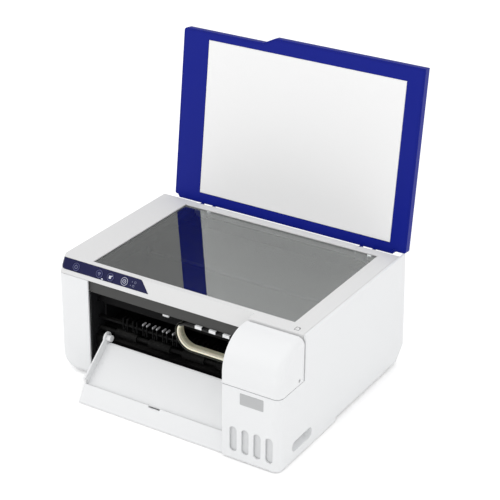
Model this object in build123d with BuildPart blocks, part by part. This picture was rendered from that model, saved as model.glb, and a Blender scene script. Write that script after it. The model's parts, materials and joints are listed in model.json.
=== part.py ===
from build123d import *
import os
from math import cos, hypot, pi, radians, sin, tan

# A desktop ink tank printer with a flatbed scanner, its document lid standing open.
# Millimetres. X runs across, Y from front to back, Z up from the table.

os.makedirs("parts", exist_ok=True)

# ---------------- driving sizes ----------------
# The glass takes an A4 sheet and the body is built round it.
glass_width = 310.5
glass_length = 220.4
glass_left_margin = 47.0  # to the body's left side
glass_right_margin = 25.1  # to the scanner's right edge
glass_front_margin = 6.8
glass_rear_margin = 14.4
glass_thickness = 3.0
glass_ledge = 4.0
deck_height = 167.0  # lower edge of the covers to the scanner's top face
foot_stand = 2.0  # feet below the lower edge of the covers
tank_overhang = 65.0  # tank housing ahead of the columns
tank_front_y = -185.2  # the middle of the whole depth, open lid included, lies at y = 0
cap_names = ("cap_black", "cap_cyan", "cap_magenta", "cap_yellow")  # one for each ink

wall = 2.5  # outer covers
thin_wall = 2.0
seam = 0.4  # between two covers
clear = 0.3  # between a seated piece and its seat
run_gap = 0.05  # radial play of a shaft in its bore

# front of the body
column_width = 50.0
column_corner = 10.0  # radius of the upright corner
bottom_corner = 24.0  # radius along the lower left edge
bezel_height = 20.0
bezel_run = 11.0  # how far the bezel leans back
rear_inset = 11.2  # scanner's rear edge ahead of the side covers' rear edge

# ink tank housing
tank_drop = 2.0  # top of the tank cover below the scanner's top
tank_arc = 46.0
tank_corner = 10.0
tank_seam_height = 103.8  # seam of the lifting cover above the covers' lower edge
tank_seam = 1.0
slot_width = 10.6
slot_height = 36.0
slot_pitch = 17.4
slot_first = 16.4  # first slot's middle from the housing's left face
slot_last = 14.3  # last slot's middle from the housing's right face
slot_low = 10.5  # slots above the covers' lower edge

# right side
rim_width = 3.5  # side cover's top rim beside the scanner
hold_length = 49.0  # finger hold in the side
hold_height = 15.0
hold_depth = 11.0
hold_front = 33.0  # from the tank housing's front
hold_low = 12.0
notch_rise = 7.0  # step in the lower edge
notch_start = 81.0  # behind the columns' front
rear_lean = 8.0  # rear edge stands this much further back at the bottom
rear_chamfer = 17.0

# scanner
deck_plate = 1.6
shoulder_run = 15.5  # scanner's top reaches further forward beside the tank
housing_depth = 17.5  # dark housing below the bezel
housing_setback = 3.7
scan_head_width = 18.0
scan_head_height = 11.0
scan_rod_radius = 3.0

# lid, measured from its hinge axis
lid_open_angle = 96.6
lid_thickness = 12.0
lid_front_inset = 2.0  # closed lid's left part ends behind the columns' front
lid_step_depth = 9.2  # its right part reaches further forward
lid_edge_start = 7.4  # hinge axis to the lid's rear edge
lid_lip = 4.5  # middle of the rear edge reaches further
lid_closed_gap = 0.6
lid_left_inset = 11.5  # lid's left edge inside the body's side
lid_step_reach = 138.5  # step in the front edge, from the lid's left side
lid_step_run = 18.0
lid_skin = 2.0
lid_hinge_back = 3.3  # hinge axis behind the scanner's rear edge
lid_hinge_drop = 7.0  # hinge axis below the scanner's top
pad_left_margin, pad_right_margin = 41.8, 25.3  # pad inside the lid's edges
pad_rear_margin, pad_front_margin = 10.7, 11.6
pad_thickness = 2.5
pad_proud = 0.3
post_inset = 57.5  # middle of a hinge post from the lid's side
post_width = 14.0
post_thickness = 7.6
post_length = 30.0
pin_radius = 2.0
ear_width = 4.5
ear_radius = 4.0

# control panel, measured down the bezel's slope
panel_inset = 0.3  # panel's left end from the body's side
panel_length = 145.7
panel_top, panel_bottom = 1.2, 16.6
panel_thickness = 1.2
panel_proud = 0.3
panel_slant = 15.0
button_radius = 6.0
button_flange = 6.9
button_down = 9.7
button_reach = {"power_button": 27.2, "network_button": 65.3, "info_button": 83.4, "copy_button": 106.1}

# paper output
ramp_margin = 25.0  # ramp's left side from the column
ramp_gap = 2.5  # ramp's right side from the tank housing
ramp_top_y, ramp_top_z = 5.6, 59.2  # top edge behind the columns' front, above the covers' edge
ramp_angle = 39.4
ramp_length = 64.0
ramp_flange = 11.0
ramp_sheet = 2.2
lip_length = 26.0
lip_angle = 57.0
tray_sheet = 2.0
tray_length = 112.0

# print mechanism
paper_height = 74.0  # paper path above the covers' lower edge
feed_reach = 90.2  # feed roller behind the columns' front
roller_radius = 6.0
gear_module = 0.8
feed_teeth, idler_teeth, exit_teeth, pinion_teeth = 40, 56, 20, 12
gear_width = 5.0
damper_width = 11.0  # one ink damper's pocket in the carriage
damper_pitch = 13.0
pulley_radius = 6.0
belt_width = 5.0
belt_thickness = 1.2

# ink tubes
tube_diameter = 3.2
tube_pitch = 3.5
tube_rise = 17.5  # lower run above the paper path
low_bend, high_bend = 22.0, 12.0  # radii of the bend's lower and upper half
loop_reach = 110.5  # tubes' bend from the tank housing

# rear paper feed
lean_angle = 18.0
hopper_half_width = 125.0
hopper_reach = 18.7  # bulge behind the side covers' rear edge
hopper_drop = 19.0  # rear bulge's top below the scanner's top face
support_length = 112.0
support_half_width = 75.0
support_sheet = 2.4
pickup_radius = 15.0

# ---------------- derived places ----------------
ink_count = len(cap_names)
body_width = glass_left_margin + glass_width + glass_right_margin + rim_width + seam
half_width = body_width / 2
base_z = foot_stand
front_y = tank_front_y + tank_overhang
rear_y = front_y + bezel_run + glass_front_margin + glass_length + glass_rear_margin + rear_inset
deck_z = base_z + deck_height
bezel_z = deck_z - bezel_height
deck_front_y = front_y + bezel_run
deck_rear_y = rear_y - rear_inset
column_right_x = -half_width + column_width
tank_width = slot_first + (ink_count - 1) * slot_pitch + slot_last
tank_left_x = half_width - tank_width
tank_top_z = deck_z - tank_drop
tank_rear_y = front_y - 6.4
shoulder_front_y = deck_front_y - shoulder_run
tank_split_z = base_z + tank_seam_height
scanner_right_x = half_width - rim_width - seam
glass_left = -half_width + glass_left_margin
glass_right = glass_left + glass_width
glass_front_y = deck_front_y + glass_front_margin
glass_rear_y = glass_front_y + glass_length
housing_z = bezel_z - housing_depth
housing_front_y = front_y + housing_setback
hinge_y = deck_rear_y + lid_hinge_back
hinge_z = deck_z - lid_hinge_drop
lift_y = rear_y + 5.2
lift_z = deck_z - 15.0
chassis_top_z = base_z + 12.0
slope_length = hypot(bezel_run, bezel_height)
slope = Plane(origin=(0, deck_front_y, deck_z), x_dir=(1, 0, 0), z_dir=(0, -bezel_height, bezel_run))
lean = radians(lid_open_angle - 90)
lid_frame = Plane(origin=(0, hinge_y, hinge_z), x_dir=(1, 0, 0), z_dir=(0, -cos(lean), sin(lean)))
lid_length_left = hinge_y - lid_edge_start - front_y - lid_front_inset
lid_length_right = lid_length_left + lid_step_depth
lid_left = -half_width + lid_left_inset
lid_step_x = lid_left + lid_step_reach
pad_left, pad_right = lid_left + pad_left_margin, half_width - pad_right_margin
post_xs = (lid_left + post_inset, half_width - post_inset)
lid_inner = -(lid_hinge_drop + lid_closed_gap)
lid_outer = lid_inner - lid_thickness
panel_left = -half_width + panel_inset
panel_right = panel_left + panel_length
button_places = {label: panel_left + reach for label, reach in button_reach.items()}
ramp_left = column_right_x + ramp_margin
ramp_right = tank_left_x - ramp_gap
gear_pitch = gear_module / 2  # pitch radius for each tooth
paper_z = base_z + paper_height
feed_y = front_y + feed_reach
idler_y = feed_y - (feed_teeth + idler_teeth) * gear_pitch
exit_y = idler_y - (idler_teeth + exit_teeth) * gear_pitch
feed_z = paper_z - roller_radius
exit_z = feed_z
chassis_low_z = base_z + 1.2
floor = 2.5
chassis_floor_z = chassis_low_z + floor
tube_start_x = tank_left_x + 7.4
tube_room = 0.8  # between the tubes and the bulkhead
tube_low_z = paper_z + tube_rise
tube_high_z = tube_low_z + low_bend + high_bend
loop_left_x = tank_left_x - loop_reach
low, middle = Align.MIN, Align.CENTER


# ---------------- helpers ----------------
def block(x, y, z, mode=Mode.ADD, frame=Plane.XY):
    """A box between the given pairs of coordinates, in a frame of its own."""
    centre = [(a + b) / 2 for a, b in (x, y, z)]
    with Locations(frame.location * Location(centre)):
        Box(x[1] - x[0], y[1] - y[0], z[1] - z[0], mode=mode)


def rod(start, along, radius, length, mode=Mode.ADD):
    """A round bar from a point along a direction."""
    with Locations(Plane(origin=start, z_dir=along).location):
        Cylinder(radius, length, align=(middle, middle, low), mode=mode)


def prism(plane, points, length, mode=Mode.ADD):
    """A closed outline on a plane, extruded along the plane's normal."""
    with BuildSketch(plane) as outline:
        with BuildLine():
            Polyline(*points, close=True)
        make_face()
    extrude(outline.sketch, amount=length, mode=mode)


def save(builder, label):
    builder.part.label = label
    export_step(builder.part, f"parts/{label}.step")


# ---------------- outer forms ----------------
def column_form(inset):
    """Left side and front column with its rounded lower edge and upright corner."""
    with BuildPart() as form:
        opened = 5 * inset  # the inside runs out past the open sides
        block(
            (-half_width + inset, column_right_x + opened),
            (front_y + inset, rear_y + opened),
            (base_z + inset, bezel_z - seam + opened),
        )
        edge = form.edges().filter_by(Axis.Y).group_by(Axis.Z)[0].sort_by(Axis.X)[0]
        fillet(edge, bottom_corner - inset)
        front = form.faces().sort_by(Axis.Y)[0]
        outline = front.edges().group_by(Axis.X)[0]
        fillet(outline, column_corner - inset)
    return form.part


def tank_form(inset):
    """Tank housing: upright front, a quarter round over it and a level top."""
    top = tank_top_z - inset
    foot = base_z - inset
    back = tank_rear_y + inset
    with BuildPart() as form:
        with BuildSketch(Plane.YZ.offset(tank_left_x + inset)):
            with BuildLine():
                Polyline(
                    (tank_front_y + tank_arc, top), (back, top), (back, foot),
                    (tank_front_y + inset, foot), (tank_front_y + inset, tank_top_z - tank_arc),
                )
                RadiusArc(
                    (tank_front_y + inset, tank_top_z - tank_arc),
                    (tank_front_y + tank_arc, top),
                    tank_arc - inset,
                )
            make_face()
        extrude(amount=tank_width - 2 * inset)
        right = form.faces().sort_by(Axis.X)[-1]
        outline = right.edges().filter_by(lambda e: e.center().Z > base_z and e.center().Y < tank_rear_y - 1)
        fillet(outline, tank_corner - inset)
    return form.part


def deck_form(inset, top):
    """Scanner's top frame: level top, leaning bezel and the shoulder beside the tank."""
    lean_back = inset * slope_length / bezel_height
    foot = bezel_z - 2 * inset
    with BuildPart() as form:
        points = [
            (front_y + lean_back - 2 * inset * bezel_run / bezel_height, foot),
            (deck_front_y + lean_back - top * bezel_run / bezel_height, deck_z - top),
            (deck_rear_y - inset, deck_z - top),
            (deck_rear_y - inset, foot),
        ]
        prism(Plane.YZ.offset(-half_width + inset), points, scanner_right_x + half_width - 2 * inset)
        corner = form.edges().filter_by(lambda e: abs(e.length - slope_length) < slope_length / 2)
        corner = corner.sort_by(Axis.X)[:2].sort_by(Axis.Y)[0]
        fillet(corner, column_corner - inset)
        block(
            (tank_left_x + inset, scanner_right_x - inset),
            (shoulder_front_y + inset, glass_front_y),
            (foot, deck_z - top),
        )
    return form.part


# ---------------- base: covers ----------------
with BuildPart() as left_cover:
    add(column_form(0))
    add(column_form(wall), mode=Mode.SUBTRACT)
save(left_cover, "left_cover")

hold_y = tank_front_y + hold_front
hold_z = base_z + hold_low
bulkhead_y = tank_rear_y + 4.2
side_x = half_width - wall
cover_pivot_y = tank_rear_y - 6.8
cover_pivot_z = tank_top_z - 6.0
cover_pin_radius = 1.5
cover_ear = 3.2
bracket_xs = (tank_left_x + 12.0, half_width - 18.0)
with BuildPart() as right_cover:
    add(tank_form(0))
    block(
        (tank_left_x - 1, half_width + 1),
        (tank_front_y - 1, tank_rear_y + 1),
        (tank_split_z - tank_seam / 2, deck_z),
        mode=Mode.SUBTRACT,
    )
    side = [
        (tank_rear_y - tank_corner, base_z),
        (front_y + notch_start, base_z),
        (front_y + notch_start, base_z + notch_rise),
        (rear_y + rear_lean - rear_chamfer, base_z + notch_rise),
        (rear_y + rear_lean, base_z + notch_rise + rear_chamfer),
        (rear_y, deck_z),
        (shoulder_front_y, deck_z),
        (shoulder_front_y, tank_split_z - tank_seam / 2),
        (tank_rear_y - tank_corner, tank_split_z - tank_seam / 2),
    ]
    prism(Plane.YZ.offset(side_x), side, wall)
    block((half_width - rim_width, side_x + 1), (shoulder_front_y, rear_y), (deck_z - 8.0, deck_z))
    add(tank_form(wall), mode=Mode.SUBTRACT)
    # bulkhead behind the tank, and the wall that ends the paper bay on the right
    bay_wall_end = bulkhead_y + thin_wall
    block((tank_left_x, side_x + 1), (bulkhead_y, bulkhead_y + thin_wall), (chassis_floor_z, bezel_z - 2.0))
    block(
        (tank_left_x, tank_left_x + thin_wall),
        (tank_rear_y - wall, bay_wall_end),
        (chassis_floor_z, tank_split_z - tank_seam / 2),
    )
    block(
        (tank_left_x, tank_left_x + thin_wall),
        (tank_rear_y + 1.2, bay_wall_end),
        (tank_split_z - 2.0, bezel_z - 2.0),
    )
    # boss behind the bulkhead that the ink tubes come out of
    tube_half = (ink_count - 1) * tube_pitch / 2 + tube_diameter / 2
    tube_y = bulkhead_y + thin_wall + tube_room + tube_half
    boss_half = tube_half + 1.0
    block(
        (tube_start_x, tube_start_x + 9.0),
        (bulkhead_y + 1, tube_y + boss_half),
        (tube_low_z - 4.0, tube_low_z + 4.0),
    )
    # finger hold with its pocket
    block(
        (half_width - hold_depth - thin_wall, side_x + 1),
        (hold_y - thin_wall, hold_y + hold_length + thin_wall),
        (hold_z - thin_wall, hold_z + hold_height + thin_wall),
    )
    with BuildSketch(Plane.YZ.offset(half_width - hold_depth)):
        with Locations((hold_y + hold_length / 2, hold_z + hold_height / 2)):
            SlotOverall(hold_length, hold_height)
    extrude(amount=hold_depth + 1, mode=Mode.SUBTRACT)
    # windows on the tanks
    with BuildSketch(Plane.XZ.offset(-tank_front_y + 1)):
        for number in range(ink_count):
            with Locations((tank_left_x + slot_first + number * slot_pitch, base_z + slot_low + slot_height / 2)):
                SlotOverall(slot_height, slot_width, rotation=90)
    extrude(amount=-(wall + 2), mode=Mode.SUBTRACT)
    # brackets for the lifting tank cover
    for x in bracket_xs:
        outline = [
            (bulkhead_y + 1, bezel_z - 24.0),
            (bulkhead_y + 1, bezel_z - 2.0),
            (cover_pivot_y + cover_ear, bezel_z + 2.0),
            (cover_pivot_y + cover_ear, cover_pivot_z),
            (cover_pivot_y - cover_ear, cover_pivot_z),
            (cover_pivot_y - cover_ear, bezel_z),
            (bulkhead_y - 3.0, bezel_z - 24.0),
        ]
        prism(Plane.YZ.offset(x), outline, 3.0)
        rod((x, cover_pivot_y, cover_pivot_z), (1, 0, 0), cover_ear, 3.0)
        rod((x - 4.0, cover_pivot_y, cover_pivot_z), (1, 0, 0), cover_pin_radius, 11.0)
    fillet(right_cover.edges().filter_by(Axis.Y).group_by(Axis.Z)[-1].sort_by(Axis.X)[-1], 1.5)
save(right_cover, "right_cover")

with BuildPart() as ink_tank_cover:
    add(tank_form(0))
    add(tank_form(wall), mode=Mode.SUBTRACT)
    block(
        (tank_left_x - 1, half_width + 1),
        (tank_front_y - 1, tank_rear_y + 1),
        (base_z - 1, tank_split_z + tank_seam / 2),
        mode=Mode.SUBTRACT,
    )
    top_edge = ink_tank_cover.edges().filter_by(Axis.X).filter_by(
        lambda e: e.center().Y > tank_rear_y - 0.1 and e.center().Z > tank_top_z - 0.1
    )
    fillet(top_edge, 2.2)
    for x in bracket_xs:
        for side_start in (x - 3.4, x + 3.4):
            outline = [
                (cover_pivot_y - cover_ear, cover_pivot_z),
                (cover_pivot_y + cover_ear, cover_pivot_z),
                (cover_pivot_y + cover_ear, tank_top_z - wall + 0.5),
                (cover_pivot_y - cover_ear, tank_top_z - wall + 0.5),
            ]
            prism(Plane.YZ.offset(side_start), outline, 3.0)
            rod((side_start, cover_pivot_y, cover_pivot_z), (1, 0, 0), cover_ear, 3.0)
            rod(
                (side_start - 1, cover_pivot_y, cover_pivot_z), (1, 0, 0),
                cover_pin_radius + run_gap, 5.0, mode=Mode.SUBTRACT,
            )
    # pull hole low on the right side
    rod((side_x - 1, tank_rear_y - 11.6, tank_split_z + 6.0), (1, 0, 0), 2.3, wall + 2, mode=Mode.SUBTRACT)
save(ink_tank_cover, "ink_tank_cover")

# ---------------- base: tank, fillers and caps ----------------
tank_gap = 0.6
block_front_y = tank_front_y + wall + tank_gap
block_left_x = tank_left_x + wall + tank_gap
block_right_x = side_x - tank_gap
block_back_y = bulkhead_y - tank_gap
step_back_y = hold_y - thin_wall - tank_gap
step_z = hold_z + hold_height + thin_wall + tank_gap
block_top_z = tank_split_z + 5.0
filler_y = tank_front_y + 30.0
filler_radius = 5.0
filler_height = 8.0
cap_radius = 6.6
cap_wall = 1.2
cap_hinge_y = filler_y + 11.0
cap_hinge_z = block_top_z + 4.0
cap_clear = 0.55  # room for the cap to swing over its filler
with BuildPart() as ink_tank:
    outline = [
        (block_front_y, chassis_top_z - 4.0),
        (step_back_y, chassis_top_z - 4.0),
        (step_back_y, step_z),
        (block_back_y, step_z),
        (block_back_y, block_top_z),
        (block_front_y, block_top_z),
    ]
    prism(Plane.YZ.offset(block_left_x), outline, block_right_x - block_left_x)
    fillet(
        ink_tank.edges().filter_by(Axis.Z).group_by(Axis.Y)[0].sort_by(Axis.X)[-1],
        tank_corner - wall - tank_gap,
    )
    for number in range(ink_count):
        x = tank_left_x + slot_first + number * slot_pitch
        rod((x, filler_y, block_top_z), (0, 0, 1), filler_radius, filler_height)
        rod((x, filler_y, block_top_z + 2), (0, 0, 1), 2.4, filler_height, mode=Mode.SUBTRACT)
        if number:
            slit = x - slot_pitch / 2
            block(
                (slit - 0.8, slit + 0.8),
                (block_front_y - 1, step_back_y - 6.0),
                (chassis_top_z - 2.0, block_top_z + 1),
                mode=Mode.SUBTRACT,
            )
    # bar and pins that the filler caps swing on
    block(
        (block_left_x + 2, block_right_x - 2),
        (cap_hinge_y + 4.0, cap_hinge_y + 7.0),
        (block_top_z - 0.5, block_top_z + 5.0),
    )
    for number in range(ink_count):
        x = tank_left_x + slot_first + number * slot_pitch
        for start in (x - 5.4, x + 3.4):
            block(
                (start, start + 2.0), (cap_hinge_y - 2.0, cap_hinge_y + 5.0),
                (block_top_z - 0.5, cap_hinge_z + 2.0),
            )
        rod((x - 5.4, cap_hinge_y, cap_hinge_z), (1, 0, 0), 1.0, 10.8)
save(ink_tank, "ink_tank")

for number, cap_name in enumerate(cap_names):
    x = tank_left_x + slot_first + number * slot_pitch
    cap_low_z = block_top_z + 2.5
    cap_top_z = block_top_z + filler_height + clear + cap_wall + 0.6
    with BuildPart() as cap:
        rod((x, filler_y, cap_low_z), (0, 0, 1), cap_radius, cap_top_z - cap_low_z)
        rod(
            (x, filler_y, cap_low_z - 1), (0, 0, 1),
            filler_radius + cap_clear, block_top_z + filler_height + clear - cap_low_z + 1, mode=Mode.SUBTRACT,
        )
        block(
            (x - 2.6, x + 2.6), (filler_y + cap_radius - 0.6, cap_hinge_y),
            (cap_hinge_z - 1.5, cap_hinge_z + 2.0),
        )
        rod((x - 2.6, cap_hinge_y, cap_hinge_z), (1, 0, 0), 2.0, 5.2)
        rod((x - 4, cap_hinge_y, cap_hinge_z), (1, 0, 0), 1.0 + run_gap, 8.0, mode=Mode.SUBTRACT)
        fillet(cap.faces().sort_by(Axis.Z)[-1].edges(), 0.6)
    save(cap, cap_name)

# ---------------- base: chassis and rear ----------------
chassis_left_x = column_right_x + seam
chassis_right_x = side_x - seam
chassis_rear_y = rear_y - 3.0
lip_room = 11.0  # chassis stops short of the output tray's lip
foot_radius = 9.0
foot_places = [
    (chassis_left_x + 18.0, front_y + 14.0),
    (chassis_left_x + 18.0, chassis_rear_y - 22.0),
    (chassis_right_x - 18.0, chassis_rear_y - 74.8),
    (chassis_right_x - 30.0, tank_front_y + 26.0),
]
with BuildPart() as bottom_chassis:
    outline = [
        (chassis_left_x, front_y + wall + seam),
        (ramp_left + wall + seam, front_y + wall + seam),
        (ramp_left + wall + seam, tank_front_y + lip_room),
        (tank_left_x + wall + seam, tank_front_y + lip_room),
        (tank_left_x + wall + seam, tank_front_y + wall + seam),
        (chassis_right_x - 8.0, tank_front_y + wall + seam),
        (chassis_right_x, tank_front_y + 13.0),
        (chassis_right_x, chassis_rear_y),
        (chassis_left_x, chassis_rear_y),
    ]
    prism(Plane.XY.offset(chassis_low_z), outline, floor)
    edge_height = chassis_top_z - chassis_low_z
    # upright edges and stiffening ribs
    block(
        (chassis_right_x - 2, chassis_right_x), (bulkhead_y + 50, chassis_rear_y),
        (chassis_low_z, chassis_top_z),
    )
    block(
        (chassis_left_x, chassis_right_x), (chassis_rear_y - 2, chassis_rear_y),
        (chassis_low_z, chassis_top_z),
    )
    for y in (feed_y + 30.0, feed_y + 70.0, feed_y + 110.0):
        block((chassis_left_x + 10.0, tank_left_x), (y, y + 2), (chassis_low_z, chassis_low_z + 7.0))
        block((tank_left_x + 6.0, chassis_right_x - 9.0), (y, y + 2), (chassis_low_z, chassis_low_z + 7.0))
    # slot for the ramp's right flange and the tank housing's inner wall
    block(
        (ramp_right - wall - seam, tank_left_x + wall + seam), (tank_front_y, housing_front_y - 0.8),
        (chassis_low_z - 1, chassis_top_z), mode=Mode.SUBTRACT,
    )
    for x, y in foot_places:
        rod((x, y, chassis_low_z - 1), (0, 0, 1), foot_radius + clear, 2.0, mode=Mode.SUBTRACT)
save(bottom_chassis, "bottom_chassis")

with BuildPart() as rubber_feet:
    for x, y in foot_places:
        rod((x, y, 0), (0, 0, 1), foot_radius, chassis_low_z + 1.0)
    rims = rubber_feet.edges().group_by(Axis.Z)[0]
    fillet(rims, 0.8)
save(rubber_feet, "rubber_feet")

screw_radius, shank_radius = 2.9, 1.4
screw_places = (
    (-hopper_half_width - 15.0, base_z + 18.0), (-half_width + 11.5, base_z + 94.0),
    (hopper_half_width + 15.0, base_z + 18.0), (half_width - 13.5, base_z + 58.0), (
        half_width - 13.5, base_z + 128.0,
    ),
)
hopper_rear_y = rear_y + hopper_reach
hopper_top_z = deck_z - hopper_drop
rear_wall_y = rear_y - 2.7
lift_pin_radius = 2.0
lift_ear = 4.0
lift_inset = 32.5
lift_xs = (lift_inset - half_width, half_width - lift_inset)
inlet_x, inlet_z = -half_width + 27.5, base_z + 38.0
usb_x, usb_z = -half_width + 21.5, base_z + 76.0
slot_half_width = hopper_half_width - 15.0
slot_front_y = rear_y
with BuildPart() as rear_cover:
    block(
        (-half_width + wall + seam, side_x - seam),
        (rear_wall_y, rear_wall_y + wall),
        (base_z + notch_rise, hopper_top_z - 2.0),
    )
    block(
        (-hopper_half_width, hopper_half_width),
        (rear_wall_y, hopper_rear_y),
        (base_z + notch_rise + 5.0, hopper_top_z),
    )
    bulge_edges = rear_cover.edges().filter_by(Axis.Z).group_by(Axis.Y)[-1]
    fillet(bulge_edges, 8.0)
    lower_edge = rear_cover.edges().filter_by(Axis.X).group_by(Axis.Y)[-1].group_by(Axis.Z)[0]
    chamfer(lower_edge, 6.0)
    block(
        (-hopper_half_width + wall, hopper_half_width - wall),
        (rear_wall_y - 1, hopper_rear_y - wall),
        (base_z + notch_rise + 5.0 + 8.0, hopper_top_z - wall),
        mode=Mode.SUBTRACT,
    )
    # feed slot in the top of the bulge
    block(
        (-slot_half_width, slot_half_width),
        (slot_front_y, hopper_rear_y - wall),
        (hopper_top_z - wall - 1, hopper_top_z + 1),
        mode=Mode.SUBTRACT,
    )
    low_corner = rear_cover.edges().filter_by(Axis.Y).group_by(Axis.X)[0].sort_by(Axis.Z)[0]
    fillet(low_corner, bottom_corner - wall - 3.5)
    block(
        (inlet_x - 10.2, inlet_x + 10.2), (rear_wall_y - 1, rear_y + 1), (inlet_z - 8.2, inlet_z + 8.2),
        mode=Mode.SUBTRACT,
    )
    block(
        (usb_x - 6.3, usb_x + 6.3), (rear_wall_y - 1, rear_y + 1), (usb_z - 5.8, usb_z + 5.8),
        mode=Mode.SUBTRACT,
    )
    for x, z in screw_places:
        rod((x, rear_wall_y - 1, z), (0, 1, 0), shank_radius + clear, wall + 2, mode=Mode.SUBTRACT)
    # ears and pins that the scanner tilts on
    for x in lift_xs:
        for start in (x - 9.0, x + 5.4):
            outline = [
                (rear_wall_y, lift_z - 22.0),
                (rear_wall_y + wall, lift_z - 22.0),
                (lift_y + lift_ear, lift_z - 8.0),
                (lift_y + lift_ear, lift_z),
                (lift_y - lift_ear, lift_z),
                (rear_wall_y, lift_z - 8.0),
            ]
            prism(Plane.YZ.offset(start), outline, 3.6)
            rod((start, lift_y, lift_z), (1, 0, 0), lift_ear, 3.6)
        rod((x - 9.0, lift_y, lift_z), (1, 0, 0), lift_pin_radius, 18.0)
    # louvres on both sides of the bulge
    for sign in (-1, 1):
        for row in range(6):
            z = hopper_top_z - 46.0 + 5.0 * row
            near, far = sorted((sign * (hopper_half_width + 9.0), sign * (hopper_half_width + 25.0)))
            block((near, far), (rear_wall_y - 1, rear_y + 1), (z, z + 2.2), mode=Mode.SUBTRACT)
save(rear_cover, "rear_cover")

with BuildPart() as power_inlet:
    block((inlet_x - 10, inlet_x + 10), (rear_wall_y - 18, rear_wall_y + wall), (inlet_z - 8, inlet_z + 8))
    with BuildSketch(Plane.XZ.offset(-rear_wall_y - wall - 0.1)):
        with Locations((inlet_x, inlet_z)):
            SlotOverall(14.0, 8.2)
    extrude(amount=12.0, mode=Mode.SUBTRACT)
    for x in (inlet_x - 3.0, inlet_x + 3.0):
        rod((x, rear_wall_y - 11, inlet_z), (0, 1, 0), 1.2, 10.0)
save(power_inlet, "power_inlet")

usb_front_y = rear_wall_y - 16.0
with BuildPart() as usb_port:
    block((usb_x - 6, usb_x + 6), (usb_front_y, rear_wall_y + wall), (usb_z - 5.5, usb_z + 5.5))
    block(
        (usb_x - 4.4, usb_x + 4.4), (rear_wall_y - 8, rear_wall_y + 9), (usb_z - 4.0, usb_z + 4.0),
        mode=Mode.SUBTRACT,
    )
    block((usb_x - 2.8, usb_x + 2.8), (rear_wall_y - 9, rear_wall_y - 0.5), (usb_z - 1.3, usb_z + 1.3))
save(usb_port, "usb_port")

# ---------------- scanner unit ----------------
glass_y = (glass_front_y, glass_rear_y)
post_front_y = deck_rear_y - 2.2 - post_thickness
ear_gap = 0.4
button_hole = button_radius + clear


def panel_region(grow):
    """Outline of the control panel on the bezel, as a thick slice square to the slope."""
    with BuildPart() as region:
        outline = [
            (panel_left - grow, -panel_top + grow),
            (panel_right - panel_slant + grow, -panel_top + grow),
            (panel_right + grow, -panel_bottom - grow),
            (panel_left - grow, -panel_bottom - grow),
        ]
        prism(slope.offset(-8), outline, 16)
        upright = region.edges().filter_by(Axis((0, 0, 0), slope.z_dir))
        fillet(upright.group_by(Axis.X)[0].sort_by(Axis.Z)[0], 11.0)
        upright = region.edges().filter_by(Axis((0, 0, 0), slope.z_dir))
        fillet(upright.sort_by(Axis.X)[-2], 6.0)
    return region.part


def panel_slice(outside, inside):
    """Skin of the bezel between two depths, followed round its corner."""
    with BuildPart() as skin:
        add(deck_form(-outside, -outside))
        add(deck_form(inside, inside), mode=Mode.SUBTRACT)
    return skin.part


with BuildPart() as scanner_frame:
    add(deck_form(0, 0))
    add(deck_form(wall, deck_plate), mode=Mode.SUBTRACT)
    block((glass_left, glass_right), glass_y, (deck_z - deck_plate - 1, deck_z + 1), mode=Mode.SUBTRACT)
    fillet(scanner_frame.edges().filter_by(Axis.X).group_by(Axis.Z)[-1].sort_by(Axis.Y)[0:1], 1.0)
    add(panel_slice(1.0, panel_thickness - panel_proud) & panel_region(0.15), mode=Mode.SUBTRACT)
    for place in button_places.values():
        hole = slope.from_local_coords((place, -button_down, -wall - 2))
        rod(hole, slope.z_dir, button_hole, wall + 4, mode=Mode.SUBTRACT)
        room = slope.from_local_coords((place, -button_down, -wall - 6))
        rod(room, slope.z_dir, button_flange + clear, 6.0, mode=Mode.SUBTRACT)
    for x in post_xs:
        # way for the lid's hinge posts, their arms and the lid's ears
        near, far = x - post_width / 2 - clear, x + post_width / 2 + clear
        block(
            (near, far), (post_front_y - clear, deck_rear_y + 1), (bezel_z - 1, deck_z + 1),
            mode=Mode.SUBTRACT,
        )
        reach = post_width / 2 + ear_gap + ear_width + 1.0
        block(
            (x - reach, x + reach),
            (deck_rear_y - wall - 0.5, deck_rear_y + 1),
            (hinge_z - 7.0, deck_z - deck_plate - 0.4),
            mode=Mode.SUBTRACT,
        )
        block(
            (x - reach, x + reach), (hinge_y - ear_radius - clear, deck_rear_y + 1),
            (hinge_z, deck_z + 1), mode=Mode.SUBTRACT,
        )
    for x in lift_xs:
        block(
            (x - 5.4, x + 5.4), (deck_rear_y - wall - 1, deck_rear_y + 1),
            (bezel_z - 1, lift_z + lift_ear + 0.4), mode=Mode.SUBTRACT,
        )
save(scanner_frame, "scanner_frame")

with BuildPart() as control_panel:
    add(panel_slice(panel_proud, panel_thickness - panel_proud - 0.05) & panel_region(0))
    for place in button_places.values():
        hole = slope.from_local_coords((place, -button_down, -wall - 2))
        rod(hole, slope.z_dir, button_hole, wall + 4, mode=Mode.SUBTRACT)
save(control_panel, "control_panel")

button_top = panel_proud + 0.3
for label, place in button_places.items():
    with BuildPart() as button:
        foot = slope.from_local_coords((place, -button_down, -wall - clear - 1.0))
        rod(foot, slope.z_dir, button_flange, 1.0)
        rod(foot, slope.z_dir, button_radius, wall + clear + 1.0 + button_top)
        face = button.faces().sort_by(Axis((0, 0, 0), slope.z_dir))[-1]
        fillet(face.edges(), 0.4)
    save(button, label)

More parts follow.
